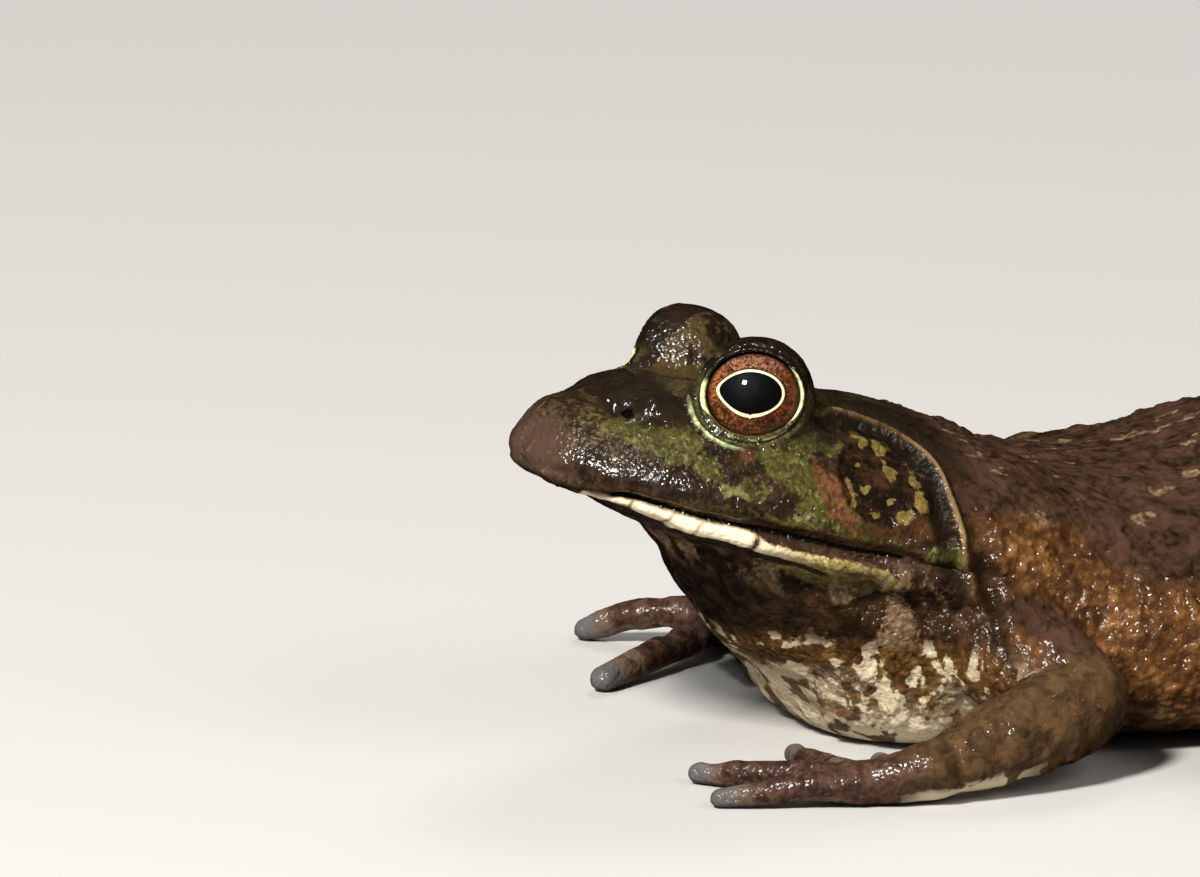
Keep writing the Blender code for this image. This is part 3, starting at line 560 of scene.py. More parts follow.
def cells(p, size, seed=1):
    """Distance in mm to the nearest of the scattered centres, the distance to the next, and that centre's own value."""
    q = p / size
    base = np.floor(q).astype(np.int64)
    best, second, own = np.full(len(p), 9.0), np.full(len(p), 9.0), np.zeros(len(p))
    for a in (-1, 0, 1):
        for b in (-1, 0, 1):
            for c in (-1, 0, 1):
                i = base + (a, b, c)
                rx, ry, rz = lattice(i[:, 0], i[:, 1], i[:, 2], seed)
                d = np.sqrt((i[:, 0] + rx - q[:, 0]) ** 2 + (i[:, 1] + ry - q[:, 1]) ** 2 + (i[:, 2] + rz - q[:, 2]) ** 2)
                nearer = d < best
                second = np.where(nearer, best, np.minimum(second, d))
                own = np.where(nearer, (rx * 7.31 + ry * 3.17) % 1.0, own)
                best = np.where(nearer, d, best)
    return best * size, second * size, own


def either(*fields):
    return np.maximum.reduce(fields)


def ramp(x, lo, hi):
    """0 below lo to 1 above hi, smoothly; hi may be the smaller."""
    t = np.clip((x - lo) / (hi - lo), 0, 1)
    return t * t * (3 - 2 * t)


def hump(d, width):
    return np.exp(-(d / width) ** 2)


def near_path(p, path):
    """Distance to a line through the points, and the nearest place on it."""
    best, place = np.full(len(p), 1e9), np.zeros((len(p), 3))
    for a, b in zip(path[:-1], path[1:]):
        ab = b - a
        t = np.clip((p - a) @ ab / (ab @ ab), 0, 1)
        c = a + t[:, None] * ab
        d = np.linalg.norm(p - c, axis=1)
        closer = d < best
        best = np.where(closer, d, best)
        place[closer] = c[closer]
    return best, place


# ------------------------------------------------------------------ the skin's relief
g, P, Q = skin_mesh()
N = normals_of(P, Q)
BASE = P.copy()
AX = np.abs(P[:, 0])
HY, HZ = to_head(P[:, 1], P[:, 2])
SIDE = np.column_stack([AX, P[:, 1], P[:, 2]])      # both sides folded onto the left one
HEADP = np.column_stack([AX, HY, HZ])
relief = np.zeros(len(P))
on_head = ramp(HY, 27, 22) * ramp(HZ, -22, -18)


def on_skin(path):
    """Head-frame points moved to the skin's nearest points, as a smooth line in the folded frame."""
    left = P[:, 0] > 0
    found = []
    for p in path:
        w = from_head(*p)
        d = ((P[left] - w) ** 2).sum(1)
        found.append(tuple(P[left][d.argmin()]) + (1.0,))
    return smooth_path(found, 4)[:, :3]


# supratympanic fold, with the hollow under it
FOLD_LINE = on_skin(FOLD)
EAR = on_skin(((20.2, 12.7, -5.5), (20.2, 12.8, -5.5)))[0]
near = np.where(np.linalg.norm(SIDE - (18, 16, 30), axis=1) < 24)[0]
d, place = near_path(SIDE[near], FOLD_LINE)
inward = ((SIDE[near] - place) * (EAR - place)).sum(1) / np.maximum(np.linalg.norm(EAR - place, axis=1), 1e-6)
grow_in = ramp(np.linalg.norm(place - FOLD_LINE[0], axis=1), 0.0, 3.0) * (1 - 0.55 * ramp(np.linalg.norm(place - FOLD_LINE[-1], axis=1), 7.0, 0.0))
fold = np.zeros(len(P))
fold[near] = hump(d, 0.85) * (0.45 + 0.55 * grow_in)
relief[near] += 1.05 * hump(d, 0.82) * (0.4 + 0.6 * grow_in)
relief[near] -= 0.50 * hump(np.clip(inward, 0, 9) - 1.9, 0.95) * (inward > 0) * hump(d, 3.0)
relief[near] -= 0.12 * hump(np.clip(-inward, 0, 9) - 2.1, 0.9) * (inward < 0) * hump(d, 3.0)
# under_fold: the hollow inside the fold, kept dull and darkened with painted shade
under_fold = np.zeros(len(P))
under_fold[near] = ramp(inward, 0.1, 0.6) * ramp(inward, 3.1, 2.0) * ramp(d, 3.6, 3.0)

# eardrum
ear_normal = N[((P - EAR) ** 2).sum(1).argmin()]
rel = SIDE - EAR
deep = rel @ ear_normal
flat = rel - deep[:, None] * ear_normal
ear_r = np.where(np.abs(deep) < 4.5, np.linalg.norm(flat, axis=1), 30.0)
relief += -0.30 * ramp(ear_r, 5.6, 4.8) + 0.24 * hump(ear_r - 5.9, 0.6) + 0.22 * hump(ear_r, 2.2)

# lids: fine rims and folds round the opening
lid_e, lid_u, lid_v = np.full(len(P), 9.0), np.zeros(len(P)), np.zeros(len(P))
c, fore, up, out = eye_axes(1)
rel = SIDE - c
u, v, w = rel @ fore, rel @ up, rel @ out
e = np.sqrt((u / LID_OPENING[0]) ** 2 + (v / LID_OPENING[1]) ** 2)
here = (np.linalg.norm(rel, axis=1) < 10.5) & (w > -0.5)
lid_e[here], lid_u[here], lid_v[here] = e[here], u[here], v[here]
above = ramp(v / np.maximum(np.hypot(u, v), 1e-6), 0.0, 0.5)
front_low = ramp((0.80 * u - 0.60 * v) / np.maximum(np.hypot(u, v), 1e-6), 0.45, 0.85)
lid = (0.16 * hump(e - 1.07, 0.035) - 0.22 * hump(e - 1.15, 0.035) + 0.12 * hump(e - 1.22, 0.035)) * above
lid += (0.20 * hump(e - 1.06, 0.05) - 0.26 * hump(e - 1.17, 0.05)) * (1 - above)
lid += (0.36 * hump(e - 1.34, 0.045) - 0.22 * hump(e - 1.25, 0.04) - 0.22 * hump(e - 1.44, 0.05)) * front_low
relief += np.where(here, lid, 0)

# upper lip, nostrils, corner of the mouth, crease before the arm
d, _ = near_path(SIDE, on_skin(LIP_SWELL))
swell = hump(d, 1.8)
relief += 0.62 * swell
relief -= 0.20 * hump(HZ + 12.6, 0.5) * ramp(HY, 2.0, -4.0) * on_head
relief += 0.45 * hump(HY + 20.6, 1.9) * ramp(HZ, -10.5, -7.5) * on_head
# the dip across the snout's top; each nostril sinks with it in one piece, so that its walls don't stand up
dip = 1.35 * hump(HY + 15.9, 3.3) * ramp(HZ, -7.0, -3.4) * on_head
sunk = dip * ramp(np.hypot(AX - NOSTRIL[0], HY - NOSTRIL[1]), 3.0, 1.8) * (HZ > -7)
relief -= dip - sunk
relief -= MOUTH_DEEP * hump(HZ - mouth_height(HY), MOUTH_GAP) * ramp(HY, MOUTH_CORNER_Y, MOUTH_CORNER_Y - 2.5) * on_head
# the far nostril's mounds are lower, as the photo's outline shows, and neither fills its nostril
facing = np.where(P[:, 0] > 0, 1.0, 0.15) * (1 - hump(np.hypot(AX - NOSTRIL[0], HY - NOSTRIL[1]), 1.3))
for x, y, r, h in ((4.3, -14.5, 1.9, 1.05), (9.1, -12.1, 1.8, 1.00)):
    relief += h * hump(np.hypot(AX - x, HY - y), r) * (HZ > -7) * on_head * facing
relief += 0.55 * hump(np.linalg.norm(HEADP - (23.5, 21.4, -13.4), axis=1), 2.6)
relief += 0.35 * hump(np.linalg.norm(HEADP - (22.4, 16.6, -16.8), axis=1), 2.4)
d, _ = near_path(SIDE, on_skin(ARM_CREASE))
relief -= 0.75 * hump(d, 0.9)
# crease: mask of the crease before the arm, where its shade is painted into the colour
crease = hump(d, 1.2)
relief += 0.35 * hump(d - 2.4, 1.1) * (HY > 26)

# soft lumps everywhere, pleats on the throat and neck
limbs = ramp(AX, 33, 37) * (P[:, 2] < 30)
lump = noise(P, 5.0, 3) * 0.28 * (1 - 0.6 * limbs) * ramp(lid_e, 1.2, 1.7)
relief += lump * ramp(P[:, 2], 0.6, 4.0)
throat = ramp(HZ, -15.5, -19.0) * ramp(P[:, 1], 26, 16) * ramp(AX, 27, 22)
pleat = noise(P * (1.0, 0.75, 0.28), 2.4, 8, 2)
neck = ramp(HZ, -13.5, -17.5) * ramp(P[:, 1], 34, 24) * ramp(P[:, 1], 2.0, 8.0) * ramp(AX, 12, 19)
relief += 0.36 * pleat * np.maximum(throat, neck) * ramp(P[:, 2], 0.5, 3.0)

# tight crinkles that catch the light, strongest by the nostrils, on the lip and the far side of the lids
d1, d2, _ = cells(P, 0.95, 12)
crinkle = np.clip((d2 - d1) / 0.45, 0, 1)
knobs = either(hump(np.hypot(HY + 14.5, HZ + 3.5), 3.4) * (AX > 2.5), 0.5 * swell, 0.45 * ramp(HY, 0, 8) * ramp(HZ, -6.5, -3.0)) * on_head * ramp(ear_r, 5.4, 6.4)
relief += 0.13 * (crinkle - 0.6) * np.maximum(knobs, 0.30 * on_head) * ramp(lid_e, 1.5, 1.8)
wet_nose = np.minimum(1.7 * either(hump(np.hypot(AX - 5.0, HY + 15.4), 1.6), hump(np.hypot(AX - 9.7, HY + 12.9), 1.7)), 1) * (HZ > -7) * on_head
d1, _, _ = cells(P, 1.05, 13)
relief += 0.36 * np.clip(1 - (d1 / 0.60) ** 2, 0, 1) * wet_nose * facing

# warts: close granules on the flanks, low ones on the back, fine ones on the limbs
behind = ramp(P[:, 1], 16, 27)
flank = np.maximum(behind, 0.8 * ramp(P[:, 1], 6, 14) * ramp(P[:, 2], 17, 13)) * ramp(P[:, 2], 1.0, 4.0) * (1 - 0.75 * limbs) * np.maximum(ramp(HY, 22, 27), ramp(HZ, -22, -25))
d1, d2, own = cells(P, 1.38, 5)
dome = np.clip(1 - (d1 / (0.42 + 0.42 * own)) ** 2, 0, 1)
side_on = ramp(N[:, 2], 0.98, 0.55)
granule = dome * flank * (0.35 + 0.65 * side_on)
relief += 0.40 * granule
d1, d2, own2 = cells(P, 1.05, 6)
small = np.clip(1 - (d1 / (0.32 + 0.34 * own2)) ** 2, 0, 1)
relief += 0.17 * small * np.maximum(flank, 0.35 * limbs + 0.25 * on_head * ramp(HY, 2, 12) * (ear_r > 6)) * (1 - granule)
d1, _, own3 = cells(P, 5.2, 7)
wart = np.clip(1 - (d1 / (1.3 + 0.9 * own3)) ** 2, 0, 1) ** 0.8 * (own3 > 0.42)
relief += 0.42 * wart * behind * ramp(N[:, 2], 0.2, 0.6) * ramp(P[:, 2], 10, 20)
relief *= ramp(P[:, 2], 0.05, 0.8)
P = BASE + N * relief[:, None] - sunk[:, None] * (from_head(0, 0, 1) - from_head(0, 0, 0))
P[:, 2] = np.maximum(P[:, 2], 0.02)
P = np.where((lid_e < 1.0)[:, None], BASE, P)

# ------------------------------------------------------------------ where the markings lie, in mm inside (+) or outside (-) each
warp = np.column_stack([noise(P, 2.2, 21, 3), noise(P, 2.2, 22, 3)])
WY, WZ = HY + 0.85 * warp[:, 0], HZ + 0.85 * warp[:, 1]
broad = noise(P, 6.5, 31, 3, 0.55)
mottle = noise(P, 2.6, 32, 3, 0.6)


def patch(y, z, ry, rz, turn=0.0, inner=0.0):
    """Ellipse on the side of the head, its edge made ragged; turn tips its back end down."""
    a = math.radians(turn)
    dy, dz = WY - y, WZ - z
    p, q = dy * math.cos(a) - dz * math.sin(a), dy * math.sin(a) + dz * math.cos(a)
    return (1 - np.sqrt((p / ry) ** 2 + (q / rz) ** 2)) * min(ry, rz) - 30 * (AX < inner)


mouth = HZ - mouth_height(HY)
green = either(patch(-14.6, -6.2, 4.6, 1.9, 12), patch(-9.0, -7.2, 4.2, 1.3, 18), patch(-10.6, -5.6, 2.6, 1.4), patch(2.2, -6.8, 4.4, 2.3, 25),
               patch(5.0, -9.6, 2.6, 1.8), patch(4.2, -3.4, 3.6, 1.4, -5), patch(-2.6, -9.6, 1.6, 0.9), patch(-6.5, -12.2, 5.2, 1.0, 3), patch(2.5, -12.2, 3.6, 0.8),
               patch(10.5, -11.8, 5.0, 1.2), patch(9.0, -8.6, 1.2, 1.2), patch(7.3, -3.2, 1.3, 1.0))
green = either(green, 1.5 * broad - 0.85 - 8 * (1 - on_head) - 6 * ramp(HY, -18.0, -20.5) - 5 * ramp(ear_r, 6.4, 5.8))
pale = either(patch(-4.8, -9.8, 1.6, 0.8, 10), patch(-14.3, -4.0, 0.6, 0.5), patch(3.2, -11.2, 1.0, 0.5))
orange = either(patch(6.9, -8.5, 4.3, 1.7, 46), patch(20.6, -15.5, 2.0, 1.6))
russet = either(patch(-3.4, -5.8, 1.6, 1.0, 30), patch(17.0, -10.6, 3.4, 1.5, 10), patch(12.5, -11.4, 3.0, 1.2, 0))
spots = either(patch(11.4, -2.2, 1.0, 0.45), patch(13.9, -2.4, 1.0, 0.5), patch(10.2, -4.4, 0.5, 0.45), patch(14.2, -4.6, 0.95, 0.95),
               patch(17.3, -4.6, 1.5, 0.5, 78), patch(17.5, -7.6, 1.6, 0.7, 80), patch(10.6, -6.9, 0.55, 0.5), patch(13.8, -7.7, 0.5, 0.45),
               patch(15.2, -9.3, 1.1, 0.5, -20), patch(11.8, -9.4, 0.7, 0.4), patch(9.0, -7.2, 1.6, 0.35, 70))
gland = either(patch(21.4, -13.2, 2.2, 2.4), patch(17.2, -17.0, 3.0, 1.2, -6))
# tan: mottling over the eye bumps, the fold's front end, streaks on the snout and back
on_bump = ramp(np.linalg.norm(SIDE - eye_axes(1)[0], axis=1), 11.0, 9.0) * ramp(lid_e, 1.36, 1.5) * ramp(HZ, -3.5, -1.0)
tan = either(patch(8.3, -0.6, 2.8, 0.75, -4), patch(-18.2, -6.6, 1.0, 2.0, -20) - 0.35 * np.abs(mottle), patch(-17.6, -3.4, 1.6, 0.6, -25) - 0.3 * np.abs(mottle),
             on_bump * 2 - 1.85 + 1.3 * noise(P, 1.7, 61, 3, 0.6) + 0.8 * on_bump * ramp(HY, 0.0, -5.0), patch(9.5, -10.2, 1.0, 0.8),
             (1.9 * noise(P * (0.8, 0.45, 0.8), 2.0, 62, 3, 0.6) - 1.20) * behind - 3 * (1 - behind))
snout = np.clip(-18.6 - HY + 0.9 * warp[:, 0] - 0.12 * (HZ + 10), -3, 6)

# lower jaw: a row of cream plates in front, a mottled yellow band behind under a brown strip
below = mouth_height(HY) - HZ
top_edge = 0.26 + 1.15 * ramp(HY, -2.6, 1.2)
low_edge = 1.50 + 1.30 * ramp(HY, -17.5, -9.0) + 2.2 * ramp(HY, -3.0, 5.0) + 0.9 * ramp(HY, 4.0, 12.0) - 1.2 * ramp(HY, 13.0, 17.5)
for notch in (-14.4, -10.5, -7.3, -1.4):
    low_edge -= 0.45 * hump(HY - notch + 0.5 * warp[:, 0], 0.7)
cream = np.minimum(below - top_edge, low_edge - below) + 0.26 * warp[:, 1] - 0.8 * np.maximum(mottle - 0.30, 0) * ramp(HY, -1.5, 2.0)
for notch, deep in ((-14.4, 0.0), (-10.5, 0.10), (-7.3, 0.16), (-1.4, -0.1)):
    cream = np.minimum(cream, np.abs(HY + 0.30 * below - 0.5 - notch + 0.45 * warp[:, 0]) - 0.10 + deep + 0.10 * np.clip(1.6 - below, 0, 2))
cream -= 4 * ramp(HY, -17.0, -17.7)
cream = np.where((HZ < -12.9) & (on_head > 0.02), cream, -5.0)
cream -= 5 * ramp(HY + 1.2 * warp[:, 0], 13.5, 18.5) + 4 * (1 - ramp(N[:, 2], -0.93, -0.8))
jaw_tone = ramp(HY, -0.5, 6.5)
jaw_top = np.clip(top_edge - below, -3, 3)

# throat, breast and belly
under = ramp(HZ, -16.5, -19.5) * (1 - limbs)
# wet: where the skin is glossiest; on the fold's crest it also masks a painted highlight
wet = either(wet_nose, swell * ramp(HY, 1.0, -4.0), 0.6 * fold * ramp(HZ, -1.0, -3.0), 0.55 * ramp(np.linalg.norm(SIDE - eye_axes(1)[0], axis=1), 11.0, 9.0)) * (1 - under_fold)
streak = either(pleat - 0.42, noise(P * (1.0, 0.8, 0.33), 1.7, 44, 2) - 0.58) - 2 * ramp(P[:, 1], 20, 30)
breast = ramp(P[:, 1], 27, 21) * ramp(P[:, 2], 15.5, 12.5) * ramp(P[:, 1], -2, 2) * (1 - limbs)
blotch = noise(P * (1.0, 1.0, 0.75), 2.6, 41, 3, 0.55) + 0.35 * noise(P, 1.2, 42, 2)
belly = ramp(N[:, 2], -0.25, -0.75) * ramp(P[:, 2], 12, 6)

# limbs: distance along each from its root, and to the nearest finger or toe tip
bar = np.zeros(len(P))
legs = np.full(len(P), 1e9)
for path, start in ((THIGH, 4.0), (SHANK, 40.0), (TARSUS, 96.0)):
    line = smooth_path(path, 5)[:, :3]
    d, place = near_path(SIDE, line)
    steps = np.concatenate([[0], np.cumsum(np.linalg.norm(np.diff(line, axis=0), axis=1))])
    along = steps[[0]] * np.zeros(len(P))
    for i, (a, b) in enumerate(zip(line[:-1], line[1:])):
        ab = b - a
        t = np.clip((SIDE - a) @ ab / (ab @ ab), 0, 1)
        on = np.linalg.norm(SIDE - a - t[:, None] * ab, axis=1) <= d + 1e-6
        along[on] = steps[i] + t[on] * np.linalg.norm(ab)
    closer = d < legs
    legs = np.where(closer, d, legs)
    bar = np.where(closer, start + along, bar)
leg = ramp(legs, 13.5, 10.5) * ramp(P[:, 1], 44, 50)
bars = leg * (np.sin(bar * 2 * math.pi / 11.5 + 1.1 * noise(P, 5.0, 51, 2)) + 0.45 * mottle) - 3 * (1 - leg)
tips = np.full(len(P), 1e9)
for finger in FINGERS + FINGERS_R + TOES + tuple(mirrored(t) for t in TOES):
    tips = np.minimum(tips, np.linalg.norm(P - finger[-1][:3], axis=1))
digit = ramp(P[:, 2], 7.5, 5.0) * np.maximum(ramp(P[:, 1], 8, 3) * ramp(AX, 13, 15), ramp(AX, 47, 50))
for a, b in ((FINGERS, 1), (FINGERS_R, -1)):
    for f in a:
        d, _ = near_path(P, smooth_path(f, 3)[:, :3])
        digit = np.maximum(digit, ramp(d, 3.6, 2.6))

floats = {
    "mouth": mouth, "green": green, "pale": pale, "orange": orange, "spots": spots, "gland": gland, "snout": snout,
    "cream": cream, "jaw_tone": jaw_tone, "jaw_top": jaw_top, "jaw": ramp(mouth, 0.1, -0.2) * on_head,
    # throat: under the head and the neck below the jaw, painted darker: partly the throat's own tone, partly painted
    # shadow under the jaw
    "throat": np.maximum(under * on_head, 0.75 * neck * (1 - behind)), "streak": streak, "breast": breast, "blotch": blotch, "belly": belly,
    "flank": behind, "granule": np.maximum(granule, 0.55 * small * flank), "wart": wart, "limb": np.maximum(limbs, leg),
    "bars": bars, "tips": np.minimum(tips, 20), "digit": digit, "fold": fold, "under_fold": under_fold,
    # nose: distance from the nostril, for the nostril's painted shade
    "ear_r": ear_r, "tan": tan, "russet": russet, "wet": wet, "lid_e": lid_e, "crease": crease, "on_head": on_head, "nose": np.minimum(np.hypot(HY - NOSTRIL[1], HZ - NOSTRIL[2]) + 9 * (AX < 2), 9),
    "lip_swell": swell,
}
vectors = {"skin_mm": BASE, "head_mm": HEADP, "lid_uv": np.column_stack([lid_u, lid_v, lid_e])}


# ------------------------------------------------------------------ meshes
def mesh_object(name, points, faces, floats=(), vectors=()):
    """Object from arrays in millimetres, with named values at its points for the materials."""
    mesh = bpy.data.meshes.new(name)
    count, corners = len(faces), faces.shape[1]
    world = (points - (0, CENTRE_Y, 0)) * MM
    mesh.vertices.add(len(points))
    mesh.vertices.foreach_set("co", world.astype(np.float32).ravel())
    mesh.loops.add(count * corners)
    mesh.loops.foreach_set("vertex_index", faces.astype(np.int32).ravel())
    mesh.polygons.add(count)
    mesh.polygons.foreach_set("loop_start", np.arange(0, count * corners, corners, dtype=np.int32))
    mesh.polygons.foreach_set("loop_total", np.full(count, corners, np.int32))
    mesh.update(calc_edges=True)
    mesh.shade_smooth()
    for key, values in dict(floats).items():
        mesh.attributes.new(key, "FLOAT", "POINT").data.foreach_set("value", np.asarray(values, np.float32))
    for key, values in dict(vectors).items():
        mesh.attributes.new(key, "FLOAT_VECTOR", "POINT").data.foreach_set("vector", np.asarray(values, np.float32).ravel())
    obj = bpy.data.objects.new(name, mesh)
    bpy.context.scene.collection.objects.link(obj)
    return obj


# ------------------------------------------------------------------ node graphs, written as sums
class Value:
    """A node's output that can be used in sums."""

    def __init__(self, graph, socket):
        self.g, self.s = graph, socket

    def __add__(self, o): return self.g.math("ADD", self, o)
    def __radd__(self, o): return self.g.math("ADD", self, o)
    def __sub__(self, o): return self.g.math("SUBTRACT", self, o)
    def __rsub__(self, o): return self.g.math("SUBTRACT", o, self)
    def __mul__(self, o): return self.g.math("MULTIPLY", self, o)
    def __rmul__(self, o): return self.g.math("MULTIPLY", self, o)


class Graph:
    def __init__(self, name):
        self.mat = bpy.data.materials.new(name)
        self.mat.use_nodes = True
        self.nodes, self.links = self.mat.node_tree.nodes, self.mat.node_tree.links
        self.shader = self.nodes["Principled BSDF"]
        self.known = {}

    def put(self, value, socket):
        if isinstance(value, Value):
            self.links.new(value.s, socket)
        elif isinstance(value, tuple):
            socket.default_value = (*value, 1.0)[:len(socket.default_value)]
        else:
            socket.default_value = value

    def math(self, op, a, b=0.0, clamp=False):
        n = self.nodes.new("ShaderNodeMath")
        n.operation, n.use_clamp = op, clamp
        self.put(a, n.inputs[0])
        self.put(b, n.inputs[1])
        return Value(self, n.outputs[0])

    def attribute(self, name, vector=False):
        if name not in self.known:
            n = self.nodes.new("ShaderNodeAttribute")
            n.attribute_name = name
            self.known[name] = Value(self, n.outputs["Vector" if vector else "Fac"])
        return self.known[name]

    def noise(self, vector, size, detail=2.0, rough=0.5, distortion=0.0):
        """-1 to 1, with features `size` mm across."""
        n = self.nodes.new("ShaderNodeTexNoise")
        self.put(vector, n.inputs["Vector"])
        n.inputs["Scale"].default_value = 1.0 / size
        n.inputs["Detail"].default_value = detail
        n.inputs["Roughness"].default_value = rough
        n.inputs["Distortion"].default_value = distortion
        return (Value(self, n.outputs[0]) - 0.5) * 3.0

    def warped(self, vector, size, reach):
        """The place pushed about by up to `reach` mm."""
        n = self.nodes.new("ShaderNodeTexNoise")
        self.put(vector, n.inputs["Vector"])
        n.inputs["Scale"].default_value = 1.0 / size
        n.inputs["Detail"].default_value = 1.0
        push = self.nodes.new("ShaderNodeVectorMath")
        push.operation = "MULTIPLY_ADD"
        self.put(Value(self, n.outputs["Color"]), push.inputs[0])
        push.inputs[1].default_value = (2 * reach,) * 3
        self.put(vector, push.inputs[2])
        return Value(self, push.outputs[0])

    def cells(self, vector, size, feature="F1", jitter=1.0):
        n = self.nodes.new("ShaderNodeTexVoronoi")
        n.feature = feature
        self.put(vector, n.inputs["Vector"])
        n.inputs["Scale"].default_value = 1.0 / size
        n.inputs["Randomness"].default_value = jitter
        return Value(self, n.outputs["Distance"])

    def ramp(self, value, lo, hi, to_lo=0.0, to_hi=1.0):
        n = self.nodes.new("ShaderNodeMapRange")
        n.interpolation_type = "SMOOTHSTEP"
        self.put(value, n.inputs["Value"])
        if lo > hi:
            lo, hi, to_lo, to_hi = hi, lo, to_hi, to_lo
        for key, v in (("From Min", lo), ("From Max", hi), ("To Min", to_lo), ("To Max", to_hi)):
            n.inputs[key].default_value = v
        return Value(self, n.outputs[0])

    def mix(self, share, a, b, kind="MIX"):
        n = self.nodes.new("ShaderNodeMix")
        n.data_type, n.blend_type, n.clamp_factor = "RGBA", kind, True
        self.put(share, n.inputs[0])
        self.put(a, n.inputs[6])
        self.put(b, n.inputs[7])
        return Value(self, n.outputs[2])

    def deepen(self, colour, power):
        n = self.nodes.new("ShaderNodeGamma")
        self.put(colour, n.inputs[0])
        n.inputs[1].default_value = power
        return Value(self, n.outputs[0])

    def bump(self, height, strength, distance, normal=None):
        n = self.nodes.new("ShaderNodeBump")
        n.inputs["Strength"].default_value = strength
        n.inputs["Distance"].default_value = distance
        self.put(height, n.inputs["Height"])
        if normal:
            self.put(normal, n.inputs["Normal"])
        return Value(self, n.outputs[0])


# ------------------------------------------------------------------ the skin's colours
DARK, BROWN, UMBER = (0.012, 0.008, 0.004), (0.055, 0.032, 0.018), (0.095, 0.055, 0.028)
MAUVE, ROSE = (0.095, 0.058, 0.043), (0.19, 0.125, 0.085)
OLIVE, OLIVE_PALE, OLIVE_DEEP = (0.110, 0.106, 0.030), (0.235, 0.222, 0.080), (0.046, 0.044, 0.012)
OCHRE, CREAM = (0.21, 0.155, 0.050), (0.72, 0.63, 0.47)
SAND, WHITISH = (0.30, 0.19, 0.095), (0.62, 0.53, 0.38)


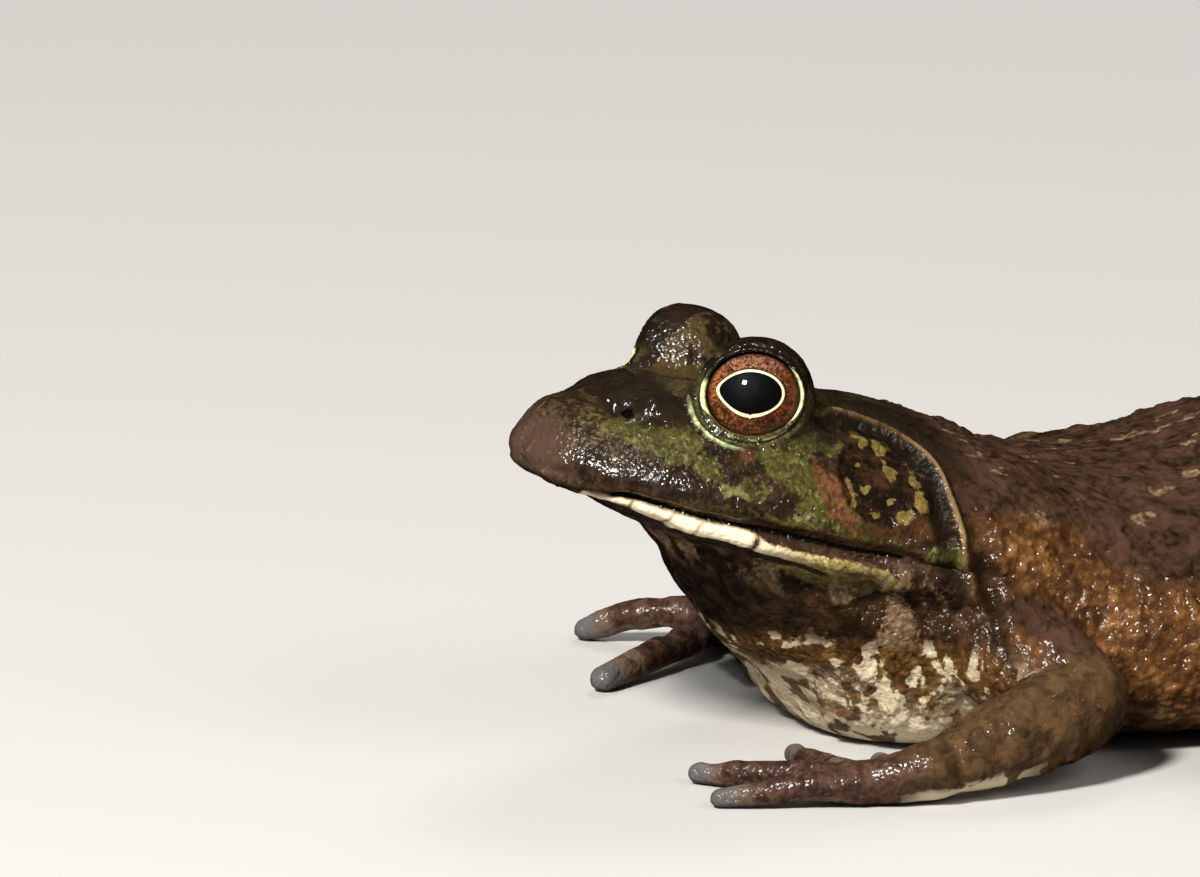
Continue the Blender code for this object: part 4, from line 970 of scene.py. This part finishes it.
def skin_material():
    g = Graph("frog_skin")
    at = g.attribute
    p = at("skin_mm", True)
    fine = g.noise(p, 0.55, 3.0, 0.6)
    mid = g.noise(p, 1.7, 3.0, 0.6, 0.6)
    wide = g.noise(p, 6.0, 3.0, 0.6, 0.4)
    veins = g.noise(p, 1.1, 2.0, 0.5, 1.2)
    edge = fine * 0.16 + mid * 0.10

    # back and top of the head: brown with darker and lighter clouds
    c = g.mix(g.ramp(mid + wide * 0.5, -0.8, 0.9), DARK, BROWN)
    c = g.mix(g.ramp(mid + wide * 0.5, -0.9, 0.8) * at("flank"), c, (0.085, 0.046, 0.032))
    c = g.mix(g.ramp(veins, 0.45, 0.95, 0.0, 0.55), c, UMBER)
    ochre = g.mix(g.ramp(fine, -0.6, 0.7), (0.12, 0.085, 0.026), OCHRE)
    c = g.mix(g.ramp(at("tan") + edge * 1.2, -0.10, 0.16, 0.0, 0.85), c, g.mix(g.ramp(mid + fine, -0.7, 0.8), (0.080, 0.052, 0.020), g.mix(at("flank"), (0.250, 0.180, 0.062), (0.270, 0.195, 0.125))))
    # green of the head
    green = g.mix(g.ramp(fine + mid, -0.9, 0.7), OLIVE_DEEP, OLIVE)
    green = g.mix(g.ramp(veins + fine * 0.5, 0.15, 0.8, 0.0, 0.75), green, OLIVE_PALE)
    green = g.mix(g.ramp(g.noise(p, 0.9, 3.0, 0.65, 0.5) + mid * 0.4, -0.15, 0.40, 0.0, 0.85), green, (0.050, 0.035, 0.014))
    c = g.mix(g.ramp(at("green") + edge * 3.2, -0.30, 0.45, 0.0, 0.93), c, green)
    # snout
    rose = g.mix(g.ramp(veins + fine * 0.5, 0.1, 0.9), MAUVE, ROSE)
    c = g.mix(g.ramp(at("snout") + edge * 3, -0.4, 3.6, 0.0, 0.92), c, rose)
    # dark net of veins over the snout and brow
    net = g.math("ABSOLUTE", g.noise(p, 1.5, 3.0, 0.55, 0.9))
    bridge = g.ramp(at("snout") + edge * 3, -3.0, -1.6) * g.ramp(at("snout") + edge * 3, 3.0, 1.2) * at("on_head")
    c = g.mix(bridge * g.ramp(mid + wide * 0.4, -0.7, 0.5, 0.1, 0.7), c, g.mix(g.ramp(fine + veins * 0.4, -0.6, 0.7), (0.050, 0.034, 0.016), (0.145, 0.105, 0.055)))
    c = g.mix(g.ramp(net, 0.26, 0.04) * bridge * 0.85, c, (0.020, 0.013, 0.008))
    brow = g.ramp(at("mouth"), 9.0, 10.5) * at("on_head") * g.ramp(at("ear_r"), 6.2, 7.5)
    c = g.mix(g.ramp(mid + fine * 0.5, -0.5, 0.5, 0.35, 0.95) * brow * 0.85, c, (0.020, 0.014, 0.010))
    # swelling over the lip, and the lip's own edge
    c = g.mix(at("lip_swell") * g.ramp(at("snout"), 3.5, 0.5) * 0.7, c, g.mix(g.ramp(fine + mid * 0.5, -0.6, 0.8), (0.016, 0.010, 0.008), (0.062, 0.040, 0.032)))
    lip = g.mix(g.ramp(mid + fine * 0.5, -0.5, 0.9), (0.045, 0.024, 0.012), (0.12, 0.065, 0.032))
    c = g.mix(g.ramp(at("mouth") + edge, 1.7, 0.9) * at("on_head") * 0.75, c, lip)
    # cheek, eardrum and gland
    rust = g.mix(g.ramp(veins + fine * 0.5, -0.6, 0.5), (0.070, 0.030, 0.014), (0.170, 0.074, 0.032))
    drum = g.mix(g.ramp(mid + fine * 0.4 + g.ramp(at("ear_r"), 3.0, 0.5) * 0.5, -0.3, 1.0), (0.012, 0.008, 0.005), (0.062, 0.030, 0.016))
    c = g.mix(g.ramp(at("ear_r") + mid * 0.15, 5.9, 5.3, 0.0, 0.92), c, drum)
    c = g.mix(g.ramp(at("russet") + edge * 2, -0.3, 0.6, 0.0, 0.75), c, g.mix(g.ramp(mid, -0.5, 0.7), (0.045, 0.022, 0.011), (0.115, 0.052, 0.024)))
    c = g.mix(g.ramp(at("orange") + edge * 2.6, -0.35, 0.6, 0.0, 0.85) * g.ramp(at("ear_r") + mid * 0.3, 4.6, 5.1), c, rust)
    c = g.mix(g.ramp(at("spots") + edge * 1.3, -0.06, 0.10), c, ochre)
    c = g.mix(g.ramp(at("pale") + edge * 1.8, -0.15, 0.25, 0.0, 0.8), c, g.mix(g.ramp(fine + mid * 0.5, -0.4, 0.6), (0.13, 0.115, 0.045), (0.25, 0.23, 0.10)))
    leaf = g.mix(g.ramp(veins + fine * 0.8, -0.3, 0.7), OLIVE, (0.30, 0.30, 0.10))
    c = g.mix(g.ramp(at("gland") + edge * 1.5, -0.2, 0.4, 0.0, 0.9), c, leaf)
    # lower jaw
    jaw = g.mix(g.ramp(mid + wide * 0.4, -0.6, 0.8), (0.036, 0.020, 0.013), (0.085, 0.050, 0.036))
    c = g.mix(at("jaw") * g.ramp(at("snout"), 1.2, 0.2), c, jaw)
    cream = g.mix(g.ramp(fine + mid * 0.8, 0.0, 1.1, 0.0, 0.6), CREAM, (0.42, 0.29, 0.16))
    cream = g.mix(g.ramp(at("cream"), 0.45, 0.05, 0.0, 0.75), cream, (0.36, 0.24, 0.12))
    straw = g.mix(g.ramp(veins + fine * 0.5, -0.6, 0.5), (0.20, 0.135, 0.050), (0.46, 0.39, 0.15))
    straw = g.mix(g.ramp(mid + fine * 0.3, 0.10, 0.6, 0.0, 0.85), straw, (0.60, 0.50, 0.31))
    straw = g.mix(g.ramp(veins * 0.6 - mid * 0.8, 0.35, 0.8, 0.0, 0.75), straw, (0.10, 0.058, 0.026))
    c = g.mix(g.ramp(at("cream") + edge * 1.1, -0.14, 0.22), c, g.mix(at("jaw_tone"), cream, straw))
    # throat, breast and belly
    # dark throat with streaks: partly its own tone, partly painted shadow under the jaw on the neck
    throat_tone_and_jaw_shadow = g.mix(g.ramp(mid + wide * 0.5, -0.5, 0.9), (0.014, 0.007, 0.003), (0.060, 0.031, 0.013))
    c = g.mix(at("throat"), c, throat_tone_and_jaw_shadow)
    c = g.mix(g.ramp(at("streak") + edge * 1.5, -0.10, 0.25, 0.0, 0.9) * at("throat"), c, g.mix(g.ramp(fine, -0.4, 0.6), (0.16, 0.10, 0.055), (0.36, 0.26, 0.16)))
    tawny = g.mix(g.ramp(mid + fine * 0.4, -0.5, 0.9), (0.070, 0.036, 0.012), (0.230, 0.125, 0.042))
    c = g.mix(at("breast"), c, tawny)
    pale = g.mix(g.ramp(fine + mid * 0.4, -0.2, 1.0, 0.0, 0.4), WHITISH, (0.42, 0.30, 0.16))
    c = g.mix(g.ramp(at("blotch") + edge * 1.4, 0.22, 0.42) * at("breast"), c, pale)
    c = g.mix(at("belly"), c, g.mix(g.ramp(at("blotch") + edge, -0.25, -0.05), (0.16, 0.11, 0.07), WHITISH))
    # flanks: reddish brown between tan granules
    red = g.mix(g.ramp(mid * 0.8 + wide * 0.9, -0.9, 0.8), (0.048, 0.021, 0.008), (0.205, 0.096, 0.033))
    red = g.mix(g.ramp(mid + fine * 0.5 - wide * 0.3, 0.5, 1.1, 0.0, 0.6), red, (0.020, 0.011, 0.006))
    low_back = g.ramp(g.attribute("side"), 0.15, 0.75)
    c = g.mix(at("flank") * low_back * 0.92, c, red)
    c = g.mix(g.ramp(at("granule") + fine * 0.10, 0.25, 0.75, 0.0, 0.5) * g.ramp(wide + mid * 0.5, -0.3, 0.6) * at("flank") * low_back, c, (0.33, 0.18, 0.075))
    # painted shade in the low skin between the granules
    c = g.mix(g.ramp(at("granule") + fine * 0.10, 0.22, 0.02, 0.0, 0.45) * at("flank") * low_back, c, (0.030, 0.014, 0.006))
    c = g.mix(g.ramp(at("wart"), 0.2, 0.7, 0.0, 0.35) * at("flank"), c, (0.030, 0.018, 0.012))
    # limbs
    limb = g.mix(g.ramp(mid + wide * 0.6, -0.9, 0.9), (0.034, 0.020, 0.011), (0.125, 0.074, 0.036))
    limb = g.mix(g.ramp(veins, 0.4, 0.9, 0.0, 0.5), limb, SAND)
    c = g.mix(at("limb") * g.ramp(at("belly"), 0.6, 0.2), c, limb)
    c = g.mix(g.ramp(at("bars") + edge, 0.15, 0.40, 0.0, 0.78), c, g.mix(g.ramp(fine, -0.4, 0.8), DARK, (0.030, 0.018, 0.010)))
    finger = g.mix(g.ramp(mid + fine * 0.5, -0.6, 0.8), (0.038, 0.020, 0.017), (0.120, 0.070, 0.052))
    c = g.mix(at("digit") * 0.85, c, finger)
    c = g.mix(g.ramp(at("tips") + edge * 2, 4.6, 3.2) * g.ramp(at("tips"), 1.2, 2.4) * 0.5, c, (0.20, 0.15, 0.11))
    c = g.mix(g.ramp(at("tips") + edge, 2.9, 1.9, 0.0, 0.85), c, (0.13, 0.125, 0.125))
    # folds, lids, nostril and the lips' line; painted shade in the hollow under the fold, the crease, the nostril and
    # the lips' line, and a painted highlight on the fold's crest
    c = g.mix(g.ramp(at("fold"), 0.45, 0.90, 0.0, 0.8), c, g.mix(g.ramp(mid * 0.8 + wide * 0.3 + fine * 0.3, -0.3, 0.7), (0.060, 0.030, 0.016), (0.185, 0.110, 0.048)))
    c = g.mix(at("wet_nose") * 0.85, c, (0.022, 0.016, 0.011))
    # painted shade in the hollow under the fold
    c = g.mix(at("under_fold") * 0.75, c, (0.008, 0.006, 0.004))
    # painted highlight: the wet crest of the fold behind the eardrum made pale tan
    c = g.mix(at("wet") * g.ramp(at("fold") + fine * 0.15 + mid * 0.1, 0.70, 0.95) * 0.8, c, (0.36, 0.27, 0.13))
    # painted shade in the crease before the arm
    c = g.mix(at("crease") * 0.7, c, (0.012, 0.007, 0.004))
    lid_vector = at("lid_uv", True)
    sep = g.nodes.new("ShaderNodeSeparateXYZ")
    g.put(lid_vector, sep.inputs[0])
    lu, lv = Value(g, sep.outputs[0]), Value(g, sep.outputs[1])
    e = at("lid_e")
    upper = g.ramp(lv - lu * 0.15, 0.9, 2.2)
    lid = g.mix(g.ramp(mid, -0.2, 0.8), (0.012, 0.009, 0.005), (0.060, 0.040, 0.024))
    lid = g.mix(g.ramp(mid + wide * 0.4, 0.35, 0.75, 0.0, 0.6), lid, (0.130, 0.105, 0.040))
    c = g.mix(g.ramp(e + mid * 0.03, 1.34, 1.22) * upper, c, lid)
    c = g.mix(g.ramp(e + mid * 0.02, 1.30, 1.20) * (1.0 - upper) * 0.7, c, g.mix(g.ramp(fine, -0.5, 0.7), (0.045, 0.038, 0.016), (0.15, 0.14, 0.055)))
    # painted shade in the groove round the lid's edge
    c = g.mix(g.ramp(e + fine * 0.01, 1.07, 1.10) * g.ramp(e, 1.19, 1.14) * 0.9, c, (0.010, 0.009, 0.006))
    # pale rim: thick in front, thin behind, a fine double line below, none above
    width = g.ramp(lu + lv * 0.35, 3.2, 5.6) * 0.10 + g.ramp(lu, -3.6, -5.4) * 0.04 + 0.012
    rim = g.ramp(e - width + fine * 0.010, 1.010, 0.990) * g.ramp(lv + lu * 0.2, 3.0, 2.2)
    c = g.mix(rim * 0.95, c, g.mix(g.ramp(fine, -0.6, 0.5), (0.60, 0.58, 0.26), (0.86, 0.83, 0.52)))
    second = g.ramp(e + fine * 0.008, 1.085, 1.10) * g.ramp(e + fine * 0.008, 1.135, 1.12) * g.ramp(lv - lu * 0.2, -2.6, -3.8)
    c = g.mix(second * g.ramp(mid, -0.4, 0.4) * 0.6, c, (0.40, 0.38, 0.16))
    # crescent: the pale mint edge of the fold before and below the eye, its palest parts a painted highlight
    crescent = g.ramp(e + fine * 0.02 + mid * 0.015, 1.27, 1.31) * g.ramp(e + fine * 0.03 - mid * 0.02, 1.41, 1.35) * g.ramp(lu * 0.68 - lv * 0.73 + mid * 0.5, 5.0, 6.3)
    c = g.mix(crescent * 0.92, c, g.mix(g.ramp(fine + mid * 0.5, -0.3, 0.5), (0.20, 0.25, 0.09), (0.66, 0.70, 0.44)))
    # painted shade: the nostril's pit near-black
    c = g.mix(g.ramp(at("nose"), 0.60, 0.35), c, (0.004, 0.003, 0.002))
    # painted shade along the mouth: a soft dark band round the lips' line, and a near-black line where the lips meet
    c = g.mix(g.ramp(at("mouth") + mid * 0.06, 0.75, 0.15) * g.ramp(at("mouth") + mid * 0.06, -0.75, -0.25) * at("on_head") * at("gape") * 0.6, c, (0.020, 0.011, 0.006))
    line = at("gape") * 0.10 + 0.17
    c = g.mix(g.ramp(g.math("ABSOLUTE", at("mouth") + mid * 0.05) - line, 0.08, -0.04) * at("on_head") * g.ramp(at("gape"), 0.0, 0.15), c, (0.005, 0.0035, 0.002))
    g.put(g.deepen(c, 1.13), g.shader.inputs["Base Color"])

    # wet surface: fine pebbling that breaks up the shine
    pebble = g.cells(g.warped(p, 0.5, 0.16), 0.62, "F1", 1.0)
    knob = g.cells(g.warped(p, 0.7, 0.25), 1.15, "F1", 1.0)
    tiny = g.noise(p, 0.22, 2.0, 0.6)
    smooth = (1.0 - at("flank") * (1.0 - at("side")) * 0.55) * (1.0 - at("limb") * 0.5)
    height = ((pebble * pebble * -0.75 + knob * knob * -0.8) * (1.0 - at("lip_swell") * 0.65 - at("wet_nose") * 0.75) + fine * 0.07 + tiny * 0.03 + veins * 0.10) * smooth
    normal = g.bump(height, 0.75, 0.00024)
    g.put(normal, g.shader.inputs["Normal"])
    wet = g.ramp(mid * 0.5 + wide * 0.5, -0.7, 0.8)
    g.put(wet * -0.14 + 0.46 - at("wet") * 0.10, g.shader.inputs["Roughness"])
    g.shader.inputs["Specular IOR Level"].default_value = 0.05
    damp = g.ramp(at("side"), 0.0, 0.6, 0.25, 0.60) + at("wet") * 0.6 + at("granule") * at("flank") * 0.5 + brow * 0.25 + at("limb") * 0.15
    matte = g.ramp(at("mouth"), 8.6, 7.6) * g.ramp(at("mouth"), 3.6, 5.0) * g.ramp(at("snout"), -13.0, -9.0) * g.ramp(at("snout"), 1.0, -0.5) * (1.0 - at("wet")) * at("on_head")
    damp = damp * (1.0 - at("throat") * 0.7) * (1.0 - at("under_fold") * 0.92) * (1.0 - matte * 0.8) + g.ramp(e + mid * 0.05, 1.40, 1.15) * 0.3
    g.put(g.math("MINIMUM", damp, 1.0), g.shader.inputs["Coat Weight"])
    g.shader.inputs["Coat Roughness"].default_value = 0.13
    g.shader.inputs["Coat IOR"].default_value = 1.45
    g.put(g.bump(height, 1.0, 0.00026), g.shader.inputs["Coat Normal"])
    return g.mat


floats["wet_nose"] = wet_nose
# gape: how wide and strong the painted shade of the lips' line is, none behind the corner
floats["gape"] = ramp(HY, MOUTH_CORNER_Y + 0.5, MOUTH_CORNER_Y - 2.5) * (0.1 + 0.9 * ramp(HY, -16.0, 2.0))
floats["side"] = ramp(N[:, 2], 0.95, 0.35) * ramp(P[:, 2], 33, 26)
skin = mesh_object("skin", P, Q, floats, vectors)
skin.data.materials.append(skin_material())


# ------------------------------------------------------------------ eyes
PUPIL = (3.60, 2.42)                 # half axes
PUPIL_AT = (0.20, 0.10)              # its centre from the eye's axis: forwards, up
IRIS = (5.20, 4.72)


def eye_material():
    g = Graph("bullfrog_eye")
    place = g.attribute("eye_uv", True)
    sep = g.nodes.new("ShaderNodeSeparateXYZ")
    g.put(place, sep.inputs[0])
    u, v = Value(g, sep.outputs[0]), Value(g, sep.outputs[1])
    turn, pupil, rim = g.attribute("eye_turn", True), g.attribute("pupil"), g.attribute("rim")
    fine = g.noise(place, 0.34, 3.0, 0.6, 0.8)
    coarse = g.noise(place, 0.9, 2.0, 0.6, 1.0)
    # threads of the iris run out from the pupil, in a net
    threads = g.noise(turn, 0.34, 3.0, 0.62, 1.3)
    net = g.cells(g.warped(turn, 0.5, 0.15), 0.30, "DISTANCE_TO_EDGE")
    warm = g.mix(g.ramp(u + v * 0.25, -3.5, 3.5), (0.160, 0.038, 0.008), (0.300, 0.096, 0.026))
    warm = g.mix(g.ramp(v, 1.6, 4.0, 0.0, 0.70), warm, (0.270, 0.138, 0.090))
    c = g.mix(g.ramp(threads + fine * 0.6, -0.45, 0.35), (0.030, 0.010, 0.005), warm)
    c = g.mix(g.ramp(net + threads * 0.04, 0.085, 0.025, 0.0, 0.85) * g.ramp(coarse, -0.6, 0.3, 0.35, 1.0), c, (0.016, 0.007, 0.004))
    gold_dust = g.ramp(fine + coarse * 0.4, 0.30, 0.75) * g.ramp(pupil, 1.5, 0.5)
    c = g.mix(gold_dust * 0.7, c, (0.52, 0.40, 0.17))
    c = g.mix(g.ramp(coarse + threads * 0.7, -0.25, 0.45, 0.0, 0.9) * g.ramp(v - u * 0.25, -1.0, -2.6), c, (0.018, 0.008, 0.004))
    c = g.mix(g.ramp(net + fine * 0.03, 0.07, 0.02, 0.0, 0.8) * g.ramp(v, 0.5, -2.0), c, (0.010, 0.005, 0.003))
    c = g.mix(g.ramp(rim + fine * 0.015, 0.90, 1.0, 0.0, 0.85), c, (0.030, 0.009, 0.005))
    c = g.mix(g.ramp(rim, 0.985, 1.01), c, (0.004, 0.003, 0.003))
    c = g.mix(g.ramp(rim + g.ramp(g.math("ABSOLUTE", u), 3.0, 4.8) * 0.02, 1.050, 1.062) * g.ramp(v + u * 0.2, 3.0, 2.2), c, (0.80, 0.77, 0.44))
    # gold ring, and the pupil with its notch below
    ring = g.ramp(pupil + fine * 0.02 + g.ramp(v - u * 0.6, -2.4, -0.5) * 0.10, 0.42, 0.34)
    c = g.mix(g.ramp(pupil, 0.62, 0.36) * 0.80, c, (0.020, 0.008, 0.005))
    c = g.mix(ring, c, g.mix(g.ramp(fine, -0.5, 0.8), (0.78, 0.66, 0.36), (0.95, 0.88, 0.60)))
    c = g.mix(g.ramp(pupil, 0.04, -0.03), c, (0.002, 0.002, 0.003))
    g.put(c, g.shader.inputs["Base Color"])
    g.shader.inputs["Roughness"].default_value = 0.5
    g.shader.inputs["Specular IOR Level"].default_value = 0.05
    g.shader.inputs["Coat Weight"].default_value = 0.4
    g.shader.inputs["Coat Roughness"].default_value = 0.03
    g.shader.inputs["Coat IOR"].default_value = 1.376
    g.put(g.bump(threads * 0.5 + fine * 0.3, 0.25, 0.00012), g.shader.inputs["Normal"])
    return g.mat


def eyeball(name, side, mat):
    """Ball with a slightly fuller cornea; its points carry their place on the iris."""
    c, fore, up, out = eye_axes(side)
    rings, turns = ((150, 240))
    tilt = np.linspace(0, math.pi, rings)[1:-1]
    spin = np.linspace(0, 2 * math.pi, turns, endpoint=False)
    T, S = np.meshgrid(tilt, spin, indexing="ij")
    T, S = np.append(T.ravel(), (0, math.pi)), np.append(S.ravel(), (0, 0))
    R = EYE_R + 0.16 * np.exp(-(T / 0.75) ** 2)
    U, V, W = R * np.sin(T) * np.cos(S), R * np.sin(T) * np.sin(S), R * np.cos(T)
    points = c + U[:, None] * fore + V[:, None] * up + W[:, None] * out
    # pupil: a lying oval, drawn out to a point in front and notched below; in mm outside its edge
    pu, pv = U - PUPIL_AT[0], V - PUPIL_AT[1]
    front = np.clip(pu / PUPIL[0], 0, 1.3) ** 2
    pv = pv - 0.36 * front
    value = np.sqrt((pu / PUPIL[0]) ** 2 + (pv / (PUPIL[1] * (1 - 0.28 * np.minimum(front, 1.4)))) ** 2)
    pupil = np.hypot(pu, pv) * (1 - 1 / np.maximum(value, 1e-3))
    pupil = pupil - 0.13 * np.exp(-(pu / 0.13) ** 2) * (pv < 0) + 10 * (W < 0)
    rim = np.hypot(U / IRIS[0], V / IRIS[1]) + 10 * (W < 0)
    angle = np.arctan2(V, U)
    reach = np.hypot(U, V)
    polar = np.column_stack([np.cos(angle) * 2.6, np.sin(angle) * 2.6, reach * 0.45])
    n = len(tilt)
    i, j = np.meshgrid(np.arange(n - 1), np.arange(turns), indexing="ij")
    k = (j + 1) % turns
    quads = np.stack([i * turns + j, (i + 1) * turns + j, (i + 1) * turns + k, i * turns + k], -1).reshape(-1, 4)
    obj = mesh_object(name, points, quads)
    mesh = obj.data
    # close the two poles
    bm = bmesh.new()
    bm.from_mesh(mesh)
    bm.verts.ensure_lookup_table()
    top, bottom = bm.verts[len(points) - 2], bm.verts[len(points) - 1]
    for j in range(turns):
        k = (j + 1) % turns
        bm.faces.new((top, bm.verts[j], bm.verts[k]))
        bm.faces.new((bottom, bm.verts[(n - 1) * turns + k], bm.verts[(n - 1) * turns + j]))
    bmesh.ops.recalc_face_normals(bm, faces=bm.faces)
    for f in bm.faces:
        f.smooth = True
    bm.to_mesh(mesh)
    bm.free()
    for key, values in (("pupil", pupil), ("rim", rim)):
        mesh.attributes.new(key, "FLOAT", "POINT").data.foreach_set("value", np.asarray(values, np.float32))
    for key, values in (("eye_uv", np.column_stack([U, V, W])), ("eye_turn", polar)):
        mesh.attributes.new(key, "FLOAT_VECTOR", "POINT").data.foreach_set("vector", np.asarray(values, np.float32).ravel())
    mesh.materials.append(mat)
    return obj


EYE_MATERIAL = eye_material()
for side, tag in ((1, "L"), (-1, "R")):
    ball = eyeball(f"eyeball_{tag}", side, EYE_MATERIAL)
    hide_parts(f"eye_{tag}")
    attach(ball, "root")
FLESH = [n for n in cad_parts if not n.startswith("eye")]
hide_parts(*FLESH)
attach(skin, "root")


# ------------------------------------------------------------------ stage, lights and camera
def plain(name, colour, roughness):
    mat = bpy.data.materials.new(name)
    mat.use_nodes = True
    shader = mat.node_tree.nodes["Principled BSDF"]
    shader.inputs["Base Color"].default_value = (*colour, 1)
    shader.inputs["Roughness"].default_value = roughness
    return mat


floor_mesh = bpy.data.meshes.new("floor")
floor_mesh.from_pydata([(-40, -40, 0), (40, -40, 0), (40, 40, 0), (-40, 40, 0)], [], [(0, 1, 2, 3)])
floor_mesh.materials.append(plain("floor_paint", (0.46, 0.455, 0.44), 0.9))
floor = bpy.data.objects.new("floor", floor_mesh)
bpy.context.scene.collection.objects.link(floor)
floor.visible_glossy = False             # else the wet underside mirrors the pale floor


def area_light(name, place, target, size, watts, colour=(1, 1, 1), mirrored=True):
    data = bpy.data.lights.new(name, "AREA")
    data.shape = "SQUARE"
    data.size, data.energy, data.color = size, watts, colour
    obj = bpy.data.objects.new(name, data)
    obj.location = place
    obj.rotation_euler = (Vector(target) - Vector(place)).to_track_quat("-Z", "Y").to_euler()
    obj.visible_camera = False
    obj.visible_glossy = mirrored        # only the key light shows in the wet skin
    bpy.context.scene.collection.objects.link(obj)
    return obj


area_light("key", (0.56, -0.84, 0.94), (0, -0.02, 0.02), 0.22, 36.0, (1.0, 0.965, 0.91))
area_light("fill", (1.6, 0.9, 1.5), (0, 0, 0.02), 1.2, 17.0, (1.0, 0.98, 0.95), mirrored=False)
area_light("rim", (-0.9, 0.7, 1.1), (0, 0, 0.02), 0.5, 9.0, mirrored=False)

world = bpy.data.worlds.new("studio")
bpy.context.scene.world = world
world.use_nodes = True
world.node_tree.nodes["Background"].inputs[0].default_value = (0.85, 0.845, 0.84, 1)
world.node_tree.nodes["Background"].inputs[1].default_value = 0.24
world.cycles_visibility.glossy = False
bpy.context.scene.view_settings.view_transform = "Standard"

CAMERA_AZIMUTH, CAMERA_ELEVATION = math.radians(65.0), math.radians(13.0)
CAMERA_DISTANCE = 3500.0
RIGHT = np.array((math.cos(CAMERA_AZIMUTH), math.sin(CAMERA_AZIMUTH), 0.0))
BACK = np.array((math.sin(CAMERA_AZIMUTH) * math.cos(CAMERA_ELEVATION), -math.cos(CAMERA_AZIMUTH) * math.cos(CAMERA_ELEVATION), math.sin(CAMERA_ELEVATION)))
UP = np.cross(BACK, RIGHT)
# the middle of the view and its width, mm
AIM = -13.36 * RIGHT + 34.34 * UP + 17.2 * BACK
VIEW_WIDTH = 137.14
camera_data = bpy.data.cameras.new("camera")
camera_data.sensor_width = 36.0
camera_data.lens = 36.0 * CAMERA_DISTANCE / VIEW_WIDTH
camera_data.clip_start, camera_data.clip_end = 0.05, 200.0
camera = bpy.data.objects.new("camera", camera_data)
camera.location = (AIM + BACK * CAMERA_DISTANCE - (0, CENTRE_Y, 0)) * MM
camera.rotation_euler = Matrix(np.column_stack([RIGHT, UP, BACK]).tolist()).to_euler()
bpy.context.scene.collection.objects.link(camera)
bpy.context.scene.camera = camera
